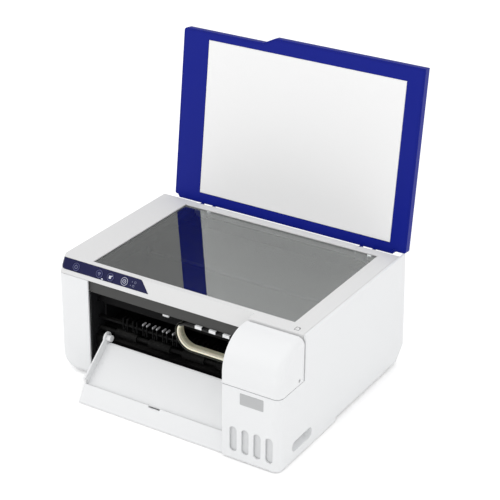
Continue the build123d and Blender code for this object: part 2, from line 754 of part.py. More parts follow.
housing_left_x = -half_width + wall + 2 * seam
housing_right_x = scanner_right_x - wall - seam
housing_rear_y = deck_rear_y - wall - seam
housing_wall = 2.2
socket_wall = 1.8
rod_z = housing_z + housing_wall + 6.0
rod_y = (glass_front_y + glass_rear_y) / 2
with BuildPart() as scanner_housing:
    block((housing_left_x, housing_right_x), (housing_front_y, housing_rear_y), (housing_z, bezel_z + 1.0))
    fillet(
        scanner_housing.edges().filter_by(Axis.Z).group_by(Axis.Y)[0].group_by(Axis.X)[0],
        column_corner - wall - seam,
    )
    block(
        (housing_left_x + housing_wall, housing_right_x - housing_wall),
        (housing_front_y + housing_wall, housing_rear_y - housing_wall),
        (housing_z + housing_wall, bezel_z + 2.0),
        mode=Mode.SUBTRACT,
    )
    for x in post_xs:
        half = post_width / 2 + clear
        block(
            (x - half - socket_wall, x + half + socket_wall),
            (post_front_y - clear - socket_wall, housing_rear_y),
            (housing_z, bezel_z + 1.0),
        )
        block(
            (x - half, x + half),
            (post_front_y - clear, post_front_y + post_thickness + clear),
            (deck_z - post_length - clear, deck_z), mode=Mode.SUBTRACT,
        )
        block(
            (x - half, x + half), (post_front_y, housing_rear_y + 1), (hinge_z - 6.0, deck_z), mode=Mode.SUBTRACT,
        )
    for x in lift_xs:
        block((x - 5.0, x + 5.0), (housing_rear_y - 4, lift_y), (lift_z - lift_ear, lift_z + lift_ear - 2))
        rod((x - 5.0, lift_y, lift_z), (1, 0, 0), lift_ear, 10.0)
        rod((x - 6.0, lift_y, lift_z), (1, 0, 0), lift_pin_radius + run_gap, 12.0, mode=Mode.SUBTRACT)
    # seats of the scan rod
    for near, far in (
        (housing_left_x + housing_wall - 0.5, housing_left_x + housing_wall + 5),
        (housing_right_x - housing_wall - 5, housing_right_x - housing_wall + 0.5),
    ):
        block((near, far), (rod_y - 6, rod_y + 6), (housing_z + housing_wall, rod_z + scan_rod_radius + 1.5))
    rod(
        (housing_left_x + housing_wall, rod_y, rod_z), (1, 0, 0), scan_rod_radius + run_gap,
        housing_right_x - housing_left_x - 2 * housing_wall, mode=Mode.SUBTRACT,
    )
save(scanner_housing, "scanner_housing")

with BuildPart() as scanner_glass:
    block(
        (glass_left - glass_ledge, glass_right + glass_ledge),
        (glass_front_y - glass_ledge, glass_rear_y + glass_ledge),
        (deck_z - deck_plate - glass_thickness, deck_z - deck_plate),
    )
save(scanner_glass, "scanner_glass")

head_x = glass_left - 2.0
head_top_z = deck_z - deck_plate - glass_thickness - 0.5
with BuildPart() as scan_head:
    block(
        (head_x, head_x + scan_head_width),
        (glass_front_y + 1, glass_rear_y - 1),
        (head_top_z - scan_head_height, head_top_z),
    )
    block(
        (head_x + 5, head_x + 8), (glass_front_y + 6, glass_rear_y - 6), (head_top_z - 1.5, head_top_z + 1),
        mode=Mode.SUBTRACT,
    )
    block(
        (head_x, head_x + scan_head_width), (rod_y - 7, rod_y + 7),
        (rod_z - 2, head_top_z - scan_head_height),
    )
    rod(
        (head_x - 1, rod_y, rod_z), (1, 0, 0), scan_rod_radius + run_gap, scan_head_width + 2, mode=Mode.SUBTRACT,
    )
save(scan_head, "scan_head")

with BuildPart() as scan_rod:
    rod(
        (housing_left_x + housing_wall + 0.2, rod_y, rod_z), (1, 0, 0), scan_rod_radius,
        housing_right_x - housing_left_x - 2 * housing_wall - 0.4,
    )
save(scan_rod, "scan_rod")

# ---------------- lid ----------------
with BuildPart() as hinge_posts:
    for x in post_xs:
        half = post_width / 2
        block(
            (x - half, x + half), (post_front_y, post_front_y + post_thickness),
            (deck_z - post_length, deck_z),
        )
        outline = [
            (post_front_y + 1, hinge_z - ear_radius), (hinge_y, hinge_z - ear_radius),
            (hinge_y, hinge_z + ear_radius), (post_front_y + 1, hinge_z + ear_radius),
        ]
        prism(Plane.YZ.offset(x - half), outline, post_width)
        rod((x - half, hinge_y, hinge_z), (1, 0, 0), ear_radius, post_width)
        reach = half + ear_gap + ear_width
        rod((x - reach, hinge_y, hinge_z), (1, 0, 0), pin_radius, 2 * reach)
save(hinge_posts, "hinge_posts")

lid_start = lid_edge_start
lid_left_end = lid_start + lid_length_left
lid_right_end = lid_start + lid_length_right
lip_start_x, lip_end_x = lid_left + 7.5, half_width - 19.5


def lid_plate(inset, back, front):
    """Lid's outline between two depths, with the step in its front edge and the lip at its hinge."""
    left, right = lid_left + inset, half_width - inset
    near, lip = lid_start + inset, lid_start - lid_lip + inset
    with BuildPart() as plate:
        with BuildSketch(lid_frame.offset(back)):
            with BuildLine():
                Polyline(
                    (lip_start_x + inset, lip), (lip_end_x - inset, lip), (lip_end_x + 3 - inset, near),
                    (right, near), (right, lid_right_end - inset),
                    (lid_step_x + lid_step_run / 2, lid_right_end - inset),
                    (lid_step_x - lid_step_run / 2, lid_left_end - inset), (left, lid_left_end - inset),
                    (left, near), (lip_start_x - 3 + inset, near),
                    close=True,
                )
            make_face()
        extrude(amount=front - back)
        upright = plate.edges().filter_by(Axis((0, 0, 0), lid_frame.z_dir))
        outer = upright.filter_by(lambda e: e.center().X < left + 0.1 or e.center().X > right - 0.1)
        near_corners = outer.sort_by(Axis((0, 0, 0), lid_frame.y_dir))[:2]
        fillet(near_corners, 3.0 - inset / 2)
        upright = plate.edges().filter_by(Axis((0, 0, 0), lid_frame.z_dir))
        fillet(upright.sort_by(Axis((0, 0, 0), lid_frame.y_dir))[-1], 5.0 - inset)
        upright = plate.edges().filter_by(Axis((0, 0, 0), lid_frame.z_dir))
        fillet(upright.sort_by(Axis.X)[0:4].sort_by(Axis((0, 0, 0), lid_frame.y_dir))[-1], 5.0 - inset)
        upright = plate.edges().filter_by(Axis((0, 0, 0), lid_frame.z_dir))
        fillet(upright.filter_by(lambda e: abs(e.center().X - lid_step_x) < lid_step_run), 9.0)
    return plate.part


rim = 2.0
ear_shifts = (-post_width / 2 - ear_gap - ear_width, post_width / 2 + ear_gap)
ear_starts = [x + shift for x in post_xs for shift in ear_shifts]
liner_back = lid_inner - pad_thickness + pad_proud - 1.8
pad_y = (lid_start + pad_rear_margin, lid_left_end - pad_front_margin)
with BuildPart() as lid_shell:
    add(lid_plate(0, lid_outer, lid_inner))
    outer_rim = lid_shell.faces().sort_by(Axis((0, 0, 0), lid_frame.z_dir))[0].edges()
    fillet(outer_rim, 1.5)
    add(lid_plate(rim, lid_outer + lid_skin, lid_inner + 1), mode=Mode.SUBTRACT)
    # ribs that the inner panel is seated on
    for x in (pad_left + 25.7, pad_left + 105.7, pad_right - 122.2, pad_right - 42.2):
        block(
            (x - 1, x + 1), (lid_start + 8, lid_left_end - 8), (lid_outer + 1, liner_back), frame=lid_frame,
        )
    for y in (lid_start + 12.0, lid_start + 120.0, lid_left_end - 14.0):
        block(
            (lid_left + 10, half_width - 10), (y - 1, y + 1), (lid_outer + 1, liner_back), frame=lid_frame,
        )
    # notches for the ears round the hinge pins
    for start in ear_starts:
        block(
            (start - clear, start + ear_width + clear),
            (lid_start - lid_lip - 1, lid_start - lid_lip + rim + 0.5),
            (lid_inner - 1.8, lid_inner + 1), mode=Mode.SUBTRACT, frame=lid_frame,
        )
save(lid_shell, "lid_shell")

with BuildPart() as lid_liner:
    add(lid_plate(rim + 0.2, liner_back, lid_inner))
    block(
        (pad_left - clear, pad_right + clear), (pad_y[0] - clear, pad_y[1] + clear),
        (lid_inner - pad_thickness + pad_proud, lid_inner + 1), mode=Mode.SUBTRACT, frame=lid_frame,
    )
    # ears round the hinge posts' pins
    for start in ear_starts:
        side = Plane(
            origin=lid_frame.from_local_coords((start, 0, 0)), x_dir=lid_frame.y_dir, z_dir=(1, 0, 0),
        )
        outline = [
            (-ear_radius, 0), (-3.0, lid_inner - 1.5), (lid_start + 1, lid_inner - 1.5), (
                lid_start + 1, lid_inner,
            ),
            (2.4, lid_inner), (2.4, 0),
        ]
        prism(side, outline, ear_width)
        rod(side.origin, (1, 0, 0), ear_radius, ear_width)
        rod(side.origin - Vector(1, 0, 0), (1, 0, 0), pin_radius + run_gap, ear_width + 2, mode=Mode.SUBTRACT)
save(lid_liner, "lid_liner")

with BuildPart() as lid_pad:
    block(
        (pad_left, pad_right), pad_y, (lid_inner - pad_thickness + pad_proud, lid_inner + pad_proud),
        frame=lid_frame,
    )
    fillet(lid_pad.faces().sort_by(Axis((0, 0, 0), lid_frame.z_dir))[-1].edges(), 0.8)
save(lid_pad, "lid_pad")

# ---------------- paper output ----------------
ramp_y = front_y + ramp_top_y
ramp_z = base_z + ramp_top_z
slant = radians(ramp_angle)
ramp_end_y = ramp_y - ramp_length * cos(slant)
ramp_end_z = ramp_z - ramp_length * sin(slant)
lip_slant = radians(lip_angle)
normal_y, normal_z = -sin(slant), cos(slant)  # square to the ramp, up and forward
lip_top_y = ramp_end_y - 1.0 * cos(slant) + ramp_flange * normal_y * 0.35
lip_top_z = ramp_end_z - 1.0 * sin(slant) + ramp_flange * normal_z * 0.35
lip_foot_y = lip_top_y - lip_length * cos(lip_slant)
lip_foot_z = lip_top_z - lip_length * sin(lip_slant)
lip_sheet = 2.4
flange_width = 2.4
knob_radius = 8.0
peg_radius, peg_length = 4.5, 9.0
peg_z = ramp_z + ramp_flange * normal_z - knob_radius / 2 + 3.0
flange_gap = (lip_sheet + 0.6) / sin(lip_slant)
flange_foot_z = base_z + 0.4
flange_foot_y = lip_foot_y + (flange_foot_z - lip_foot_z) / tan(lip_slant) + flange_gap
with BuildPart() as paper_ramp:
    sheet = [
        (ramp_y, ramp_z), (ramp_end_y, ramp_end_z),
        (ramp_end_y - ramp_sheet * normal_y, ramp_end_z - ramp_sheet * normal_z),
        (ramp_y - ramp_sheet * normal_y, ramp_z - ramp_sheet * normal_z),
    ]
    prism(Plane.YZ.offset(ramp_left), sheet, ramp_right - ramp_left)
    side = [
        (ramp_y, ramp_z - 4.0),
        (ramp_y + ramp_flange * normal_y, ramp_z + ramp_flange * normal_z),
        (
            ramp_end_y + 3.0 * cos(slant) + ramp_flange * normal_y,
            ramp_end_z + 3.0 * sin(slant) + ramp_flange * normal_z,
        ),
        (lip_top_y - 2.0 / tan(lip_slant) + flange_gap, lip_top_z - 2.0),
        (flange_foot_y, flange_foot_z),
        (front_y + 1.0, flange_foot_z),
        (front_y + 1.0, chassis_floor_z + clear),
        (ramp_y, chassis_floor_z + clear),
    ]
    for x in (ramp_left, ramp_right - flange_width):
        prism(Plane.YZ.offset(x), side, flange_width)
        rod(
            (x, ramp_y - 1.0, peg_z),
            (1, 0, 0), knob_radius, flange_width,
        )
    # pegs that stand inward from the flanges' upper ends
    for start in (ramp_left, ramp_right - peg_length):
        rod((start, ramp_y - 1.0, peg_z), (1, 0, 0), peg_radius, peg_length)
    # apron below the ramp's top edge
    block((ramp_left, ramp_right), (ramp_y - 2.0, ramp_y), (ramp_z - 30.0, ramp_z - 1.0))
save(paper_ramp, "paper_ramp")

tray_z = chassis_low_z + floor + 1.0
tray_front_y = lip_foot_y + 12.0
tray_left, tray_right = ramp_left + flange_width + 1.0, ramp_right - flange_width - 1.0
guide = 2.0
with BuildPart() as output_tray:
    block((tray_left, tray_right), (tray_front_y, tray_front_y + tray_length), (tray_z, tray_z + tray_sheet))
    for x in (tray_left, tray_right - guide):
        block(
            (x, x + guide), (tray_front_y, tray_front_y + tray_length),
            (tray_z, tray_z + 2 * tray_sheet + 2.5),
        )
save(output_tray, "output_tray")

plate_left, plate_right = tray_left + guide + clear, tray_right - guide - clear
plate_z = tray_z + tray_sheet + clear
gusset_pitch = 56.0
with BuildPart() as tray_extension:
    block(
        (plate_left, plate_right), (lip_foot_y + 6.8, tray_front_y + tray_length - 8.0),
        (plate_z, plate_z + tray_sheet),
    )
    sheet = [
        (lip_top_y, lip_top_z), (lip_foot_y, lip_foot_z), (
            lip_foot_y + lip_sheet / sin(lip_slant), lip_foot_z,
        ),
        (lip_top_y + lip_sheet * sin(lip_slant), lip_top_z - lip_sheet * cos(lip_slant)),
    ]
    prism(Plane.YZ.offset(ramp_left), sheet, ramp_right - ramp_left)
    for number in range(int((plate_right - plate_left - 20.0) // gusset_pitch) + 1):
        x = plate_left + 20 + number * gusset_pitch
        gusset = [
            (lip_top_y - 2.5, lip_top_z - 6.0), (lip_top_y - 7.5, plate_z + 0.5), (
                lip_top_y + 6.0, plate_z + 0.5,
            ),
            (lip_top_y + 6.0, plate_z + tray_sheet), (lip_top_y, lip_top_z - 6.0),
        ]
        prism(Plane.YZ.offset(x), gusset, 2.0)
    # finger notch in the middle of the lip
    with BuildSketch(Plane.XY.offset(lip_top_z - 3.0)):
        with Locations(((ramp_left + ramp_right) / 2, lip_top_y)):
            RectangleRounded(18.0, 3.0, 1.2)
    extrude(amount=5.0, mode=Mode.SUBTRACT)
save(tray_extension, "tray_extension")

# ---------------- print mechanism ----------------
frame_left_x = column_right_x + seam
frame_sheet = 2.0
frame_low_x = tank_left_x + 2.2
frame_rear_y = rear_y - 22.6
rail_right_x = side_x - 8.6
pickup_y, pickup_z = rear_y - 28.5, paper_z + 9.0
shaft_radius = 3.0
shaft_low_x = frame_left_x - gear_width - 2.2
stub_radius = 2.5
pinion_angle = -90.0
pinion_reach = (feed_teeth + pinion_teeth) * gear_pitch
pinion_y = feed_y + pinion_reach * cos(radians(pinion_angle))
pinion_z = feed_z + pinion_reach * sin(radians(pinion_angle))
rail_y = feed_y + 10.0
rail_low_z, rail_high_z = paper_z + 10.0, paper_z + 52.0
rail_sheet = 1.2
belt_y = rail_y - 1.0 - belt_width
guide_low_z, guide_high_z = paper_z + 36.0, paper_z + 50.0
guide_y = (exit_y - 4.2, exit_y - 0.2)
belt_z = paper_z + 28.0
belt_left_x, belt_right_x = frame_left_x + 10.6, rail_right_x - 16.4
bores = ((feed_y, feed_z), (exit_y, exit_z), (pickup_y, pickup_z))
with BuildPart() as side_frame_left:
    outline = [
        (front_y + wall + seam, chassis_floor_z), (frame_rear_y, chassis_floor_z), (
            frame_rear_y, pickup_z + 12,
        ),
        (pickup_y - 55.1, pickup_z + 12), (pickup_y - 95.1, housing_z - 3.0), (
            front_y + wall + seam, housing_z - 3.0,
        ),
    ]
    prism(Plane.YZ.offset(frame_left_x), outline, frame_sheet)
    for y, z in bores:
        rod((frame_left_x - 1, y, z), (1, 0, 0), shaft_radius + run_gap, 4.0, mode=Mode.SUBTRACT)
    rod((frame_left_x - gear_width - 1.5, idler_y, feed_z), (1, 0, 0), stub_radius, gear_width + 2.5)
    rod((frame_left_x - 1, pinion_y, pinion_z), (1, 0, 0), 3.4, 4.0, mode=Mode.SUBTRACT)
    # upright edge seen inside the paper bay, and a foot along the chassis
    block(
        (frame_left_x, frame_left_x + 4.2), (front_y + 33.0, front_y + 35.0),
        (paper_z + 2.0, guide_low_z - 0.5),
    )
    block(
        (frame_left_x, frame_left_x + 9.0), (feed_y - 20.0, frame_rear_y),
        (chassis_floor_z, chassis_floor_z + 2.0),
    )
save(side_frame_left, "side_frame_left")

with BuildPart() as side_frame_right:
    outline = [
        (tube_y + boss_half + 1.0, chassis_floor_z), (frame_rear_y, chassis_floor_z), (
            frame_rear_y, pickup_z + 12,
        ),
        (pickup_y - 25.1, pickup_z + 12), (pickup_y - 25.1, feed_z + 6.0), (
            tube_y + boss_half + 1.0, feed_z + 6.0,
        ),
    ]
    prism(Plane.YZ.offset(frame_low_x), outline, frame_sheet)
    for y, z in bores:
        rod((frame_low_x - 1, y, z), (1, 0, 0), shaft_radius + run_gap, 4.0, mode=Mode.SUBTRACT)
    block(
        (frame_low_x, rail_right_x + frame_sheet), (rail_y - 20.0, rail_y + 16.0),
        (chassis_floor_z, chassis_floor_z + 2.0),
    )
    outline = [
        (guide_y[0] - 2.0, guide_low_z - 4), (guide_y[0] - 2.0, housing_z - 3.0), (
            rail_y + 50.0, housing_z - 3.0,
        ),
        (rail_y + 50.0, base_z + 18.0), (rail_y + 16.0, chassis_floor_z), (rail_y - 20.0, chassis_floor_z),
    ]
    prism(Plane.YZ.offset(rail_right_x), outline, frame_sheet)
save(side_frame_right, "side_frame_right")

rail_slot_pitch = 38.0
with BuildPart() as carriage_rail:
    span = (frame_left_x + frame_sheet, rail_right_x)
    block(span, (rail_y, rail_y + rail_sheet), (rail_low_z, rail_high_z))
    block(span, (rail_y - 5.0, rail_y + rail_sheet), (rail_low_z, rail_low_z + rail_sheet))
    block(span, (rail_y, rail_y + 12.0), (rail_high_z - rail_sheet, rail_high_z))
    rod((belt_right_x, rail_y - 1, belt_z), (0, 1, 0), 3.0, 4.0, mode=Mode.SUBTRACT)
    # axle of the belt's idler pulley
    rod((belt_left_x, belt_y - 1.5, belt_z), (0, 1, 0), 1.5, belt_width + 4.0)
    for number in range(int((span[1] - span[0] - 40.0) // rail_slot_pitch)):
        x = span[0] + 36.6 + number * rail_slot_pitch
        with BuildSketch(Plane.XZ.offset(-rail_y + 1)):
            with Locations((x, rail_high_z - 10.0)):
                SlotOverall(22.0, 6.0)
        extrude(amount=-3.0, mode=Mode.SUBTRACT)
save(carriage_rail, "carriage_rail")

with BuildPart() as front_guide:
    block(span, guide_y, (guide_low_z, guide_high_z))
    block(span, (guide_y[1], guide_y[1] + 2.0), (guide_low_z, guide_low_z + 2.0))
save(front_guide, "front_guide")

tab_depth = 2.4
tab_reach = (136.1, 81.1, 59.1, 38.1, 16.1)  # from the ramp's right side
with BuildPart() as guide_tabs:
    for reach in tab_reach:
        x = ramp_right - reach
        block(
            (x - 4.7, x + 4.7), (guide_y[0] - tab_depth, guide_y[0]),
            (guide_high_z - 4.8, guide_high_z - 0.2),
        )
save(guide_tabs, "guide_tabs")

platen_y = (exit_y + roller_radius + 2.0, feed_y - roller_radius - 2.0)
platen_pitch = 25.0
with BuildPart() as platen:
    span_low = (frame_left_x + frame_sheet, frame_low_x)
    block(span_low, platen_y, (paper_z - 8.0, paper_z - 5.0))
    for number in range(int((ramp_right - ramp_left - 12.0) // platen_pitch) + 1):
        x = ramp_left + 12.0 + number * platen_pitch
        block((x - 0.8, x + 0.8), platen_y, (paper_z - 5.0, paper_z - 1.0))
    # apron below the exit roller and the guide from the rear feed
    block(span_low, (exit_y - 10.5, exit_y - 8.5), (chassis_floor_z + 12.0, exit_z - 7.0))
    block(span_low, (exit_y - 10.5, platen_y[0] + 2.0), (exit_z - 9.0, exit_z - 7.0))
    block(span_low, (platen_y[0], platen_y[0] + 2.0), (exit_z - 9.0, paper_z - 6.0))
    block(span_low, (platen_y[1] - 2.0, feed_y + 10.0), (feed_z - 10.0, feed_z - 8.0))
    block(span_low, (platen_y[1] - 2.0, platen_y[1]), (feed_z - 10.0, paper_z - 5.0))
    block(span_low, (feed_y + 8.0, feed_y + 10.0), (feed_z - 10.0, paper_z - 6.0))
    rear_guide = [
        (feed_y + roller_radius + 2.0, paper_z - 4.0), (pickup_y - 8.0, pickup_z - 20.0),
        (pickup_y - 8.0, pickup_z - 23.0), (feed_y + roller_radius + 2.0, paper_z - 7.0),
    ]
    prism(Plane.YZ.offset(span_low[0]), rear_guide, span_low[1] - span_low[0])
save(platen, "platen")


def roller(y, z, radius, spans, left, right):
    """A steel shaft with rubber sleeves."""
    rod((left, y, z), (1, 0, 0), shaft_radius, right - left)
    for start, end in spans:
        rod((start, y, z), (1, 0, 0), radius, end - start)


sleeve_pitch, sleeve_length = 54.0, 34.0
sleeve_starts = [
    ramp_left + 6.0 + number * sleeve_pitch for number in range(int((ramp_right - ramp_left - 6.0) // sleeve_pitch))
]
sleeve_spans = [(start, start + sleeve_length) for start in sleeve_starts]
shaft_right_x = frame_low_x + frame_sheet + 1.0
with BuildPart() as feed_roller:
    roller(feed_y, feed_z, roller_radius, [(ramp_left + 4.0, ramp_right - 2.0)], shaft_low_x, shaft_right_x)
save(feed_roller, "feed_roller")

with BuildPart() as exit_roller:
    roller(exit_y, exit_z, roller_radius, sleeve_spans, shaft_low_x, shaft_right_x)
save(exit_roller, "exit_roller")

with BuildPart() as pickup_roller:
    roller(pickup_y, pickup_z, pickup_radius, [(-31.0, 9.0)], frame_left_x - 3.0, shaft_right_x)
    # flat side of the roller, turned up while it waits
    block(
        (-32.0, 10.0), (pickup_y - pickup_radius, pickup_y + pickup_radius),
        (pickup_z + pickup_radius - 3.5, pickup_z + pickup_radius + 1), mode=Mode.SUBTRACT,
    )
save(pickup_roller, "pickup_roller")


def gear(teeth, y, z, first, bore):
    """A spur gear with straight flanks; first is the angle of its first tooth."""
    pitch_radius = teeth * gear_pitch
    levels = [(pitch_radius - 1.2 * gear_module, 1.12), (pitch_radius + 0.8 * gear_module, 0.34)]
    backlash = 0.1
    points = []
    for number in range(teeth):
        turn = radians(first) + 2 * pi * number / teeth
        for radius, half in (levels[0], levels[1]):
            points.append((radius, turn - (half * gear_module - backlash) / radius))
        for radius, half in (levels[1], levels[0]):
            points.append((radius, turn + (half * gear_module - backlash) / radius))
    flat = [(y + r * cos(a), z + r * sin(a)) for r, a in points]
    start = frame_left_x - gear_width - 0.8
    prism(Plane.YZ.offset(start), flat, gear_width)
    rod((start - 1, y, z), (1, 0, 0), bore, gear_width + 2, mode=Mode.SUBTRACT)


idler_first = 180.0 / idler_teeth
pinion_first = pinion_angle + 180.0 + 180.0 / pinion_teeth
with BuildPart() as feed_gear:
    gear(feed_teeth, feed_y, feed_z, 0.0, shaft_radius)
save(feed_gear, "feed_gear")
with BuildPart() as idler_gear:
    gear(idler_teeth, idler_y, feed_z, idler_first, stub_radius + run_gap)
save(idler_gear, "idler_gear")
with BuildPart() as exit_gear:
    gear(exit_teeth, exit_y, exit_z, 0.0, shaft_radius)
save(exit_gear, "exit_gear")
with BuildPart() as motor_pinion:
    gear(pinion_teeth, pinion_y, pinion_z, pinion_first, 1.0 + run_gap)
save(motor_pinion, "motor_pinion")

with BuildPart() as feed_motor:
    rod((frame_left_x + frame_sheet, pinion_y, pinion_z), (1, 0, 0), 10.0, 26.0)
    rod((frame_left_x - gear_width - 0.6, pinion_y, pinion_z), (1, 0, 0), 1.0, gear_width + 4.0)
    rod((frame_left_x + 0.2, pinion_y, pinion_z), (1, 0, 0), 3.2, 3.0)
save(feed_motor, "feed_motor")

star_pitch = 16.0
star_half_depth = 4.0
with BuildPart() as star_wheel_bar:
    bar_y = (exit_y - 3.0, exit_y + 3.0)
    block(span_low, bar_y, (paper_z + 10.0, paper_z + 13.0))
    for number in range(int((ramp_right - ramp_left - 34.0) // star_pitch)):
        x = ramp_left + 22.0 + number * star_pitch
        for start in (x - 4.0, x + 2.4):
            block(
                (start, start + 1.6), (exit_y - star_half_depth, exit_y + star_half_depth),
                (paper_z + 4.0, paper_z + 21.0),
            )
        with BuildSketch(Plane.YZ.offset(x - 0.5)):
            with Locations((exit_y, paper_z + 5.4)):
                RegularPolygon(5.0, 8)
        extrude(amount=1.0)
        rod((x - 3.0, exit_y, paper_z + 5.4), (1, 0, 0), 1.0, 6.0)
save(star_wheel_bar, "star_wheel_bar")

# ---------------- carriage and its drive ----------------
carriage_right_x = rail_right_x - 4.4
carriage_width = ink_count * damper_pitch + 8.0
carriage_x = (carriage_right_x - carriage_width, carriage_right_x)
carriage_middle = (carriage_x[0] + carriage_x[1]) / 2
carriage_y = (exit_y + star_half_depth + 0.8, feed_y + 1.0)
carriage_low_z = paper_z + 7.0
pocket_y = (carriage_y[0] + 6.0, carriage_y[1] - 11.0)
arm_low_z, arm_high_z = guide_high_z + clear, guide_high_z + 3.0
clamp_x = (carriage_x[0] + 2, carriage_x[0] + 14)
with BuildPart() as carriage:
    block(carriage_x, carriage_y, (carriage_low_z, guide_high_z - 6.0))
    fillet(carriage.edges().filter_by(Axis.Y).group_by(Axis.Z)[-1], 3.0)
    # pockets for the ink dampers, each with its damper's top
    for number in range(ink_count):
        x = carriage_x[0] + 5.0 + number * damper_pitch
        block((x, x + damper_width), pocket_y, (guide_high_z - 12.0, guide_high_z), mode=Mode.SUBTRACT)
        block(
            (x + 1.0, x + damper_width - 1.0), (pocket_y[0] + 4.0, pocket_y[1] - 4.0),
            (guide_high_z - 12.0, guide_high_z - 4.0),
        )
    # front arm that rides on the guide, with the clamp of the ink tubes ahead of the guide's tabs
    arm_x = (carriage_x[0] + 3, carriage_x[1] - 3)
    block(arm_x, (guide_y[0] - 1.0, carriage_y[0] + 2.0), (arm_low_z, arm_high_z))
    block(arm_x, (carriage_y[0] - 4.0, carriage_y[0] + 2.0), (guide_high_z - 8.0, arm_high_z))
    clamp_front_y = tube_y - tube_half - 0.2
    block(clamp_x, (clamp_front_y, guide_y[0]), (arm_low_z, arm_high_z))
    block(
        clamp_x, (clamp_front_y, guide_y[0] - tab_depth - clear),
        (tube_high_z - 3.0, tube_high_z + tube_diameter / 2 + 0.9),
    )
    # shoe on the rail and the clamp on the belt's lower run
    block(
        (carriage_x[0] + 6, carriage_x[1] - 6), (carriage_y[1] - 1.0, rail_y - 0.5),
        (rail_low_z + rail_sheet + clear, rail_low_z + rail_sheet + clear + 3.0),
    )
    block(
        (carriage_middle - 12, carriage_middle + 6), (carriage_y[1] - 1.0, rail_y - 1.0),
        (belt_z - pulley_radius - 6.0, belt_z - pulley_radius + 3.0),
    )
    block(
        (carriage_middle - 13, carriage_middle + 13), (carriage_y[1] + 1.0, rail_y),
        (belt_z - pulley_radius - belt_thickness - clear, belt_z - pulley_radius + clear), mode=Mode.SUBTRACT,
    )
save(carriage, "carriage")

with BuildPart() as print_head:
    block(
        (carriage_middle - 20, carriage_middle + 20), (carriage_y[0] + 14.0, carriage_y[1] - 21.0),
        (paper_z + 2.0, carriage_low_z),
    )
    chamfer(print_head.edges().group_by(Axis.Z)[0], 1.0)
save(print_head, "print_head")

with BuildPart() as timing_belt:
    for radius, mode in ((pulley_radius + belt_thickness, Mode.ADD), (pulley_radius, Mode.SUBTRACT)):
        with BuildSketch(Plane.XZ.offset(-belt_y)):
            with Locations(((belt_left_x + belt_right_x) / 2, belt_z)):
                SlotOverall(belt_right_x - belt_left_x + 2 * radius, 2 * radius)
        extrude(amount=-belt_width, mode=mode)
save(timing_belt, "timing_belt")

for label, x in (("drive_pulley", belt_right_x), ("idler_pulley", belt_left_x)):
    with BuildPart() as pulley:
        with BuildSketch(Plane.XZ.offset(-(belt_y - 0.3))):
            with Locations((x, belt_z)):
                RegularPolygon(pulley_radius - 0.1, 16)
        extrude(amount=-(belt_width + 0.3))
        rod((x, belt_y - 1.2, belt_z), (0, 1, 0), pulley_radius + 2.0, 1.0)
        rod((x, belt_y - 2, belt_z), (0, 1, 0), 1.5 + run_gap, belt_width + 3, mode=Mode.SUBTRACT)
    save(pulley, label)

with BuildPart() as carriage_motor:
    rod((belt_right_x, rail_y + rail_sheet, belt_z), (0, 1, 0), 13.0, 28.0)
    rod((belt_right_x, belt_y - 1.5, belt_z), (0, 1, 0), 1.5, 10.0)
    rod((belt_right_x, rail_y + 0.1, belt_z), (0, 1, 0), 2.8, 3.0)
save(carriage_motor, "carriage_motor")

with BuildPart() as capping_station:
    block(
        (carriage_middle - 23, carriage_middle + 23), (carriage_y[0] + 8.0, carriage_y[1] - 17.0),
        (chassis_floor_z, paper_z - 12.0),
    )
    block(
        (carriage_middle - 20, carriage_middle + 20), (carriage_y[0] + 12.0, carriage_y[1] - 21.0),
        (paper_z - 12.0, paper_z + 1.5),
    )
    block(
        (carriage_middle - 17.5, carriage_middle + 17.5), (carriage_y[0] + 14.5, carriage_y[1] - 23.5),
        (paper_z - 4.0, paper_z + 3.0), mode=Mode.SUBTRACT,
    )
    for x in (carriage_middle - 6.0, carriage_middle + 6.0):
        block(
            (x - 4.5, x + 4.5), (carriage_y[0] + 17.0, carriage_y[1] - 26.0),
            (paper_z - 4.5, paper_z - 0.5),
        )
save(capping_station, "capping_station")

# ---------------- ink tubes ----------------
tube_end_x = carriage_x[0] + 2
with BuildPart() as ink_tubes:
    for number in range(ink_count):
        y = tube_y + (number - (ink_count - 1) / 2) * tube_pitch
        turn_low = (loop_left_x + low_bend, tube_low_z)
        turn_left = (loop_left_x, tube_low_z + low_bend)
        turn_high = (loop_left_x + high_bend, tube_high_z)
        with BuildLine(Plane.XZ.offset(-y)) as route:
            Line((tube_start_x, tube_low_z), turn_low)
            RadiusArc(turn_low, turn_left, low_bend)
            RadiusArc(turn_left, turn_high, high_bend)
            Line(turn_high, (tube_end_x, tube_high_z))
        with BuildSketch(Plane(origin=(tube_start_x, y, tube_low_z), x_dir=(0, 1, 0), z_dir=(-1, 0, 0))):
            Circle(tube_diameter / 2)
        sweep(path=route.line)
save(ink_tubes, "ink_tubes")

# ---------------- rear paper feed ----------------
tilt = radians(lean_angle)
hopper_frame = Plane(
    origin=(0, hopper_rear_y - 7.0, hopper_top_z), x_dir=(1, 0, 0), z_dir=(0, -cos(tilt), sin(tilt)),
)  # its own Y runs up along the lean, its Z towards the front
hopper_sheet = 2.5
guide_start = -hopper_half_width + 17.0
with BuildPart() as hopper_plate:
    block(
        (13.0 - hopper_half_width, hopper_half_width - 13.0), (-55.0, -4.0), (0, hopper_sheet),
        frame=hopper_frame,
    )
    low_span = (frame_left_x + frame_sheet + clear, frame_low_x - clear)
    block(low_span, (-96.0, -54.0), (0, hopper_sheet), frame=hopper_frame)
    block(
        (hopper_half_width - 21.0, hopper_half_width - 18.0), (-50.0, -8.0),
        (hopper_sheet, hopper_sheet + 6.0), frame=hopper_frame,
    )
save(hopper_plate, "hopper_plate")

